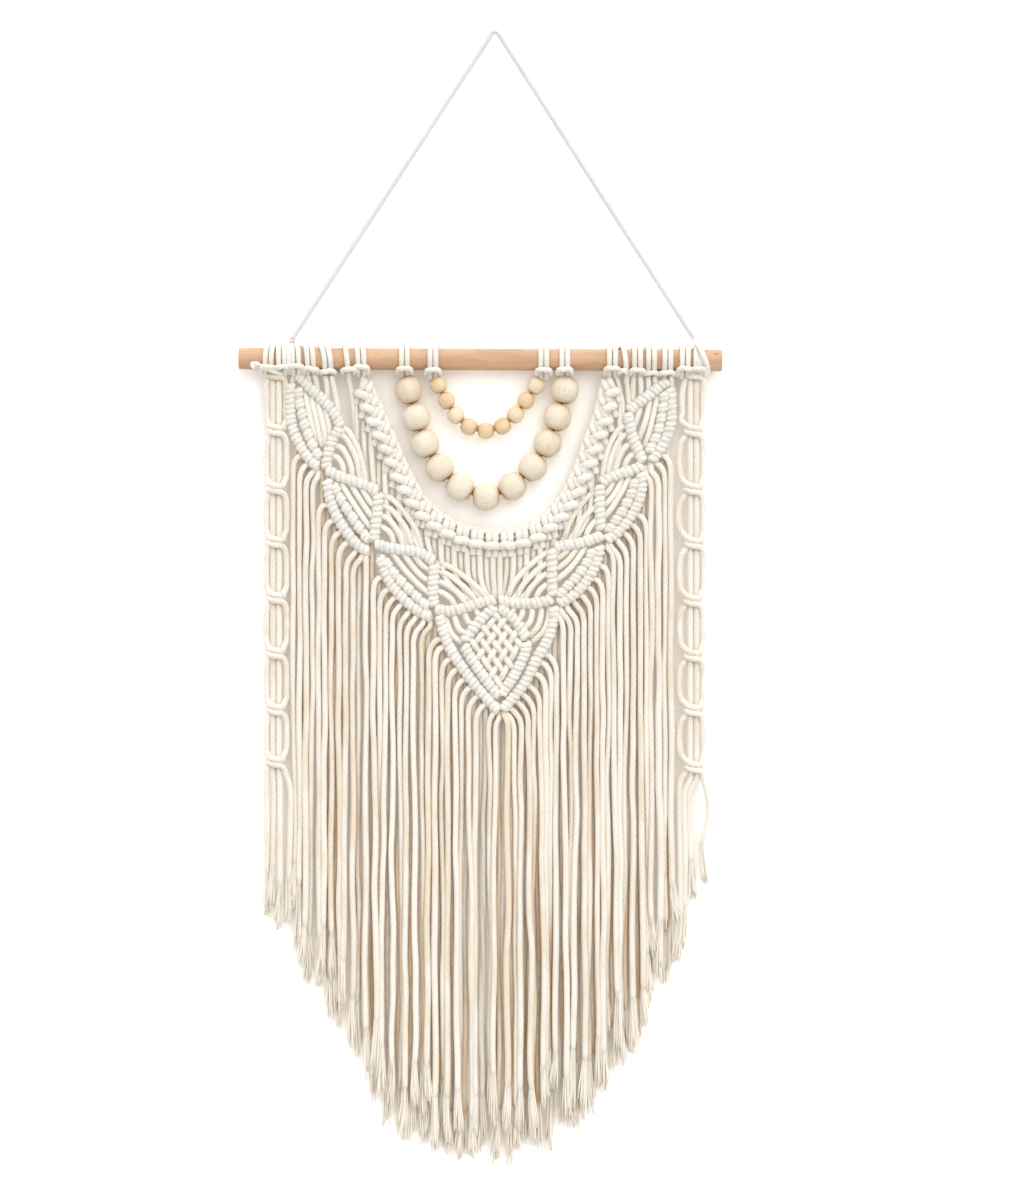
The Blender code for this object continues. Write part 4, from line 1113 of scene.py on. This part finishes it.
# cords that go from the knots on the dowel to the first ridges
for store, points in (
        (left, [(294.0, 371, 2), (292.5, 380, 0), (291.5, 390, -3)]),
        (left, [(308.4, 373, 3), (309.0, 380, 1), (309.5, 388, -3)]),
        (left, [(314.2, 374, 3), (316.5, 382, 1), (318.0, 395, -3)]),
        (left, [(325.6, 376, 3), (327.0, 386, 1), (327.5, 403, -3)]),
        (left, [(331.6, 376, 3), (335.0, 392, 0.6), (337.5, 405, 0), (339.5, 420, -3)]),
        (left, [(349.0, 380, 1), (352.5, 396, 0), (355.5, 430, -1), (361.0, 484, -3)]),
        (left, [(364.6, 371, 3), (362.0, 384, 1), (361.5, 396, -1)]),
        (right, [(609.0, 372, 3), (610.5, 384, 1), (608.0, 396, -2)]),
        (right, [(615.0, 372, 3), (619.5, 390, 0), (623.0, 412, -1), (617.0, 446, -3), (611.0, 476, -4)]),
        (right, [(626.4, 380, 1), (628.0, 392, 0), (629.0, 406, -2)]),
        (right, [(634.0, 374, 3), (633.0, 388, 1), (633.5, 404, -3)]),
        (right, [(640.0, 374, 3), (641.0, 386, 1), (641.0, 399, -3)]),
        (right, [(648.2, 376, 3), (648.5, 386, 1), (648.5, 394, -3)]),
        (right, [(654.2, 376, 3), (655.5, 382, 1), (656.0, 388, -3)]),
        (right, [(664.6, 374, 3), (664.0, 380, 1), (663.0, 384, -3)]),
        (right, [(670.4, 374, 3), (671.5, 382, 1), (671.5, 392, -3)])):
    store.rope(smooth(points, 1.0), 2.72, step=1.9)


# the over-and-under filling of the diamond
def weave():
    nw = smooth(raised([(496.5, 609), (467.5, 642)]), 0.5)
    ne = smooth(raised([(496.5, 609), (525, 640)]), 0.5)
    se = smooth(raised([(525, 642), (499.5, 693)]), 0.5)
    sw = smooth(raised([(467.5, 644), (499.5, 693)]), 0.5)
    count = 5
    for family, (a, b) in enumerate(((nw, se), (ne, sw))):
        for i in range(count):
            f = (i + 0.5) / count
            start = along(a, length_of(a) * f)
            end = along(b, length_of(b) * f)
            points = []
            for k in range(2 * count + 1):
                g = k / (2 * count)
                p = start + (end - start) * g
                crossing = (k - 1) / 2
                lift = 0.0
                if k % 2 == 1:
                    lift = 2.3 if (int(crossing) + i + family) % 2 == 0 else -2.3
                points.append((p[0], p[1], 0.4 + lift))
            points[0] = (start[0] - (end - start)[0] * 0.04, start[1] - (end - start)[1] * 0.04, -2.5)
            points[-1] = (end[0] + (end - start)[0] * 0.04, end[1] + (end - start)[1] * 0.04, -2.5)
            middle.rope(smooth(points, 1.0), 3.05, step=1.7)


weave()

# -------------------------------------------------------------- side chains
def frayed(store, place, fray, radius, direction, tint, count=24, spread=5.2):
    """The end of a cord, combed out into its yarns: they come out of its
    surface where it grows thin."""
    place = np.asarray(place, float)
    drift = np.array([rng.normal(0, 1.6), 0.0, rng.normal(0, 0.8)]) + direction * fray * 0.2
    for number in range(count):
        a, q = number * 2.4 + rng.normal(0, 0.3), math.sqrt((number + 0.5) / count)
        x, z = math.cos(a) * q, math.sin(a) * q
        length = fray * (1.0 - 0.42 * rng.random() * (0.4 + 0.6 * q))
        open_ = spread * (0.7 + 0.3 * rng.random())
        bend = rng.normal(0, 1.1, 2)
        rise = 5.0 + 9.0 * rng.random()
        points = []
        for f in (0.0, 0.25, 0.5, 0.75, 1.0):
            wide = radius * 0.80 + (open_ - radius * 0.80) * f ** 1.2
            points.append(place + np.array([x * wide, -rise * (1 - f) + length * f, z * wide * 0.8])
                          + drift * f ** 1.5 + np.array([bend[0], 0, bend[1]]) * math.sin(f * 3.0 + a) * 0.7 * f)
        path = smooth(points, max(4.5, length / 6))
        radii = np.interp(np.linspace(0, 1, len(path)), [0, 0.2, 0.7, 1.0], [0.6, 1.12, 1.05, 0.5])
        store.thread(path, radii, 4, tint + 1.4 + rng.normal(0, 0.3))


def thinning(sizes, length, over=13.0):
    """A cord's radii along it, less and less over its last stretch."""
    at = np.linspace(0.0, length, 160)
    radii = np.interp(at, np.linspace(0.0, length, len(sizes)), sizes)
    return radii * np.clip(0.40 + 0.60 * ((length - at) / over) ** 0.8, 0.0, 1.0)


def chain(name, knots, fillers, rims, bows, tails):
    """Square knots round two filler cords; between the knots the working
    cords bow outward by their own amounts."""
    store = Cords(name)
    mid = (fillers[0] + fillers[1]) / 2
    lead_left, lead_right = [], []
    for i, v in enumerate(knots):
        size = (rims[1] - rims[0]) / 2 - 1.9
        centre_u = (rims[0] + rims[1]) / 2 + rng.normal(0, 0.3)
        square_knot(lead_left, lead_right, v + rng.normal(0, 0.4), centre_u, size + (0.8 if i == 0 else 0.0),
                    (0.0, 0.0) if i == 0 else bows)
        if i + 1 < len(knots):
            gap = knots[i + 1] - v
            slack = 0.4 if i == 0 else 1.0 + rng.normal(0, 0.12)
            for f in (0.32, 0.5, 0.68):
                swell = math.sin(math.pi * f) * slack
                lead_left.append((rims[0] - bows[0] * swell, v + gap * f, rng.normal(0, 0.4)))
                lead_right.append((rims[1] + bows[1] * swell, v + gap * f, rng.normal(0, 0.4)))
    last = knots[-1]
    ends = [lead_left, None, None, lead_right]
    for k, (tail_u, tail_v, swing) in enumerate(tails):
        fray = 30 + rng.random() * 14
        low = tail_v - fray * 0.85
        tail = [(tail_u + swing * 0.75 + rng.normal(0, 0.4), last + 24, rng.normal(0, 0.6)),
                (tail_u + swing + rng.normal(0, 0.6), last + (low - last) * 0.55, rng.normal(0, 1.2)),
                (tail_u + rng.normal(0, 0.8), low, rng.normal(0, 1.2))]
        if ends[k] is None:
            line = [(fillers[k - 1], knots[0] - 9, 0.4)]
            for a, b in zip(knots, knots[1:]):
                line.append((mid + (fillers[k - 1] - mid) * 0.9, a, 0.6))
                line.append((fillers[k - 1] + rng.normal(0, 0.15), (a + b) / 2, 0.8 + rng.normal(0, 0.3)))
            line.append((mid + (fillers[k - 1] - mid) * 0.9, last, 0.6))
            line.append((fillers[k - 1], last + 12, 0.4))
            path = line + tail
        else:
            path = ends[k] + tail
        tint = 0.5 + rng.normal(0, 0.6)
        curve = smooth(path, 1.0)
        store.rope(curve, thinning([3.15, 3.15, 3.15, 3.15, 2.95], length_of(curve)), step=2.0, tint=tint)
        frayed(store, curve[-1], fray, 2.7, np.array([rng.normal(0, 0.5), 0, 0]), tint)
    return store


left_chain = chain("side_chain_left_cords", KNOTS_LEFT, (272.9, 279.1), (267.0, 285.0), (0.2, 1.8),
                   [(267.0, 912.0, 0.0), (273.4, 905.0, 0.0), (279.8, 925.0, 0.0), (287.4, 918.0, 3.2)])
right_chain = chain("side_chain_right_cords", KNOTS_RIGHT, (690.4, 696.6), (684.2, 702.6), (5.2, 0.6),
                    [(680.4, 958.0, 0.0), (685.6, 946.0, 0.0), (690.6, 896.0, 0.0), (701.6, 880.0, 6.8)])

# ------------------------------------------------------------------- fringe
fringe_parts = [Cords("fringe_left"), Cords("fringe_middle"), Cords("fringe_right"),
                Cords("fringe_behind")]
strand_lengths = []


PATHS = {name: smooth(raised(points), 1.0) for name, points in RIDGES.items()}
SIDES = {name: side_of(path) for name, path in PATHS.items()}


# where strands gather lower down
BUNCHES = (299.0, 307.0, 322.0, 331.0, 343.0, 352.0, 365.0, 379.5, 395.0, 403.5, 416.0, 425.0,
           434.5, 446.5, 458.0, 474.0, 492.0, 507.5, 517.5, 532.5, 546.5, 556.0, 569.0, 586.5,
           597.0, 606.0, 621.0, 633.0, 645.0, 652.0, 663.0, 675.0)


GAPS = tuple((a + b) / 2 for a, b in zip(BUNCHES, BUNCHES[1:])
             if not any(low - 2 < (a + b) / 2 < high + 2 for low, high in OPEN_GAPS))


def hang(store, start, u, top, tip, depth, sway, count=20, spread=5.4, sides=12, step=2.4,
         tone=0.0, goals=BUNCHES, hold=0.55):
    """A cord hanging from top to tip, with its end combed out."""
    fray = 30 + 28 * rng.random()
    low = tip - fray * 0.86
    goal = min(goals, key=lambda b: abs(b - u))
    pull = (goal - u) * hold + rng.normal(0, 0.8) * sway
    apart = 0.9 * (1 if depth > 0 else -1) * abs(pull)
    phase, wave = rng.random() * 6.28, (0.35 + 0.6 * rng.random()) * sway
    line = list(start)
    steps = max(3, int((low - top) / 34))
    for k in range(1, steps + 1):
        f = k / steps
        v = top + (low - top) * f
        gather = min(1.0, max(0.0, (v - 640.0) / 330.0)) ** 1.3
        line.append((u + pull * gather + wave * math.sin(phase + v * 0.036)
                     + rng.normal(0, 0.3) * sway,
                     v, depth + apart * gather + 0.9 * math.sin(phase * 1.7 + v * 0.021)
                     + rng.normal(0, 0.2)))
    tint = tone + rng.normal(0, 0.8)
    curve = smooth(line, 1.0)
    size = 2.95 + rng.normal(0, 0.10)
    done = store.rope(curve, thinning([size, size, size, size * 1.06, size * 1.10, size * 1.10],
                                      length_of(curve)), step=step, tint=tint, sides=sides)
    strand_lengths.append((done + fray) * UNIT)
    tail = curve[-1] - curve[-8]
    frayed(store, curve[-1], fray, size * 0.93, tail / np.linalg.norm(tail) * [1, 0, 1], tint,
           count, spread)


def leaves(ridge_name, u):
    """The place on a ridge's core at u, and the direction out of the net."""
    path = PATHS[ridge_name]
    low_half = path[len(path) // 5:]
    k = int(np.argmin(np.abs(low_half[:, 0] - u))) + len(path) // 5
    out = SIDES[ridge_name][k].copy()
    return path[k], -out if out[1] < 0 else out


strands = []
for fan in FANS:
    for hang_u in fan.hangs:
        seat, out = leaves(fan.ridge, hang_u + fan.reach)
        strands.append((hang_u, seat, out))
for e in EXITS:
    strands.append((e.hang, np.array([e.u, e.v, 0.0]), np.array([0.0, 1.0, 0.0])))
strands.sort(key=lambda row: row[0])
for number, (hang_u, seat, out) in enumerate(strands):
    store = fringe_parts[0 if hang_u < 415 else 1 if hang_u < 560 else 2]
    tip = level(TIPS, hang_u) - 6 - 52 * rng.random() ** 1.5
    depth = 0.6 + 1.3 * ((number * 7) % 3 - 1)
    p0 = np.array([seat[0], seat[1], -3.2])
    p1 = p0 + out * 5.6 + [0, 0, 2.0]
    run = hang_u - p1[0]
    p2 = p1 + out * min(4.5, abs(run) * 0.55) + [0, 0, 2.2]
    run = hang_u - p2[0]
    p3 = np.array([p2[0] + run * 0.72, p2[1] + 3.2 + abs(run) * 0.55, 1.2 + depth * 0.5])
    p4 = np.array([hang_u, p3[1] + 8.5, 0.6 + depth * 0.7])
    top = p4[1] + 14
    hang(store, [tuple(p0), tuple(p1), tuple(p2), tuple(p3), tuple(p4), (hang_u, top, depth)],
         hang_u, top, tip, depth, 1.0)

for number, u in enumerate(np.arange(BEHIND_FROM, BEHIND_TO, BEHIND_STEP)):
    u = float(u + rng.normal(0, 0.7))
    if any(a < u < b for a, b in OPEN_GAPS):
        continue
    top = level(EDGE, u) - 10
    tip = level(TIPS, u) - 2 - 22 * rng.random()
    depth = -5.4 - 1.4 * (number % 2)
    # the cords behind get a warmer, darker tone, every fifth one most: painted shade for where they hang in shade
    hang(fringe_parts[3], [(u, top - 6, -4.0), (u, top + 10, depth)], u, top + 14, tip, depth, 1.4,
         count=13, sides=9, step=3.6, tone=-2.2 if number % 5 == 2 else -0.6, goals=GAPS, hold=0.7)

# --------------------------------------------------------- cords to pieces
LOOPS_ON_DOWEL = tuple(f"dowel_loop_{i:02d}" for i in range(1, 19))
made = [(loops, LOOPS_ON_DOWEL), (band, ("neckline_band",)), (left, ("net_left",)),
        (middle, ("net_middle",)), (right, ("net_right",)),
        (left_chain, ("side_chain_left",)), (right_chain, ("side_chain_right",))]
made += [(part, ("fringe",)) for part in fringe_parts]
SHADED = {"dowel_knots": 0.45, "neckline_knots": 0.16, "side_chain_left_cords": 0.6,
          "side_chain_right_cords": 0.6}
for (store, nodes), hollow in zip(made, hollows([store for store, _ in made])):
    hollow = hollow * SHADED.get(store.name, 1.0)
    hanging = nodes[0].startswith(("fringe", "side_chain"))
    piece = store.build(COTTON_FRINGE if hanging else COTTON, hollow)
    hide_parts(*nodes)

print("triangles", {s.name: int(sum(len(f[0]) * 2 + len(f[1]) + len(f[2]) for f in s.faces))
                    for s, _ in made})
print("cord metres", {s.name: round(s.length * UNIT, 2) for s, _ in made})
print("hanger", round(hanger_length, 4), "strings", round(big_length, 4), round(small_length, 4))
print("fringe strands", len(strand_lengths), round(min(strand_lengths), 3), round(max(strand_lengths), 3))

bpy.context.view_layer.update()
low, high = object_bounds()
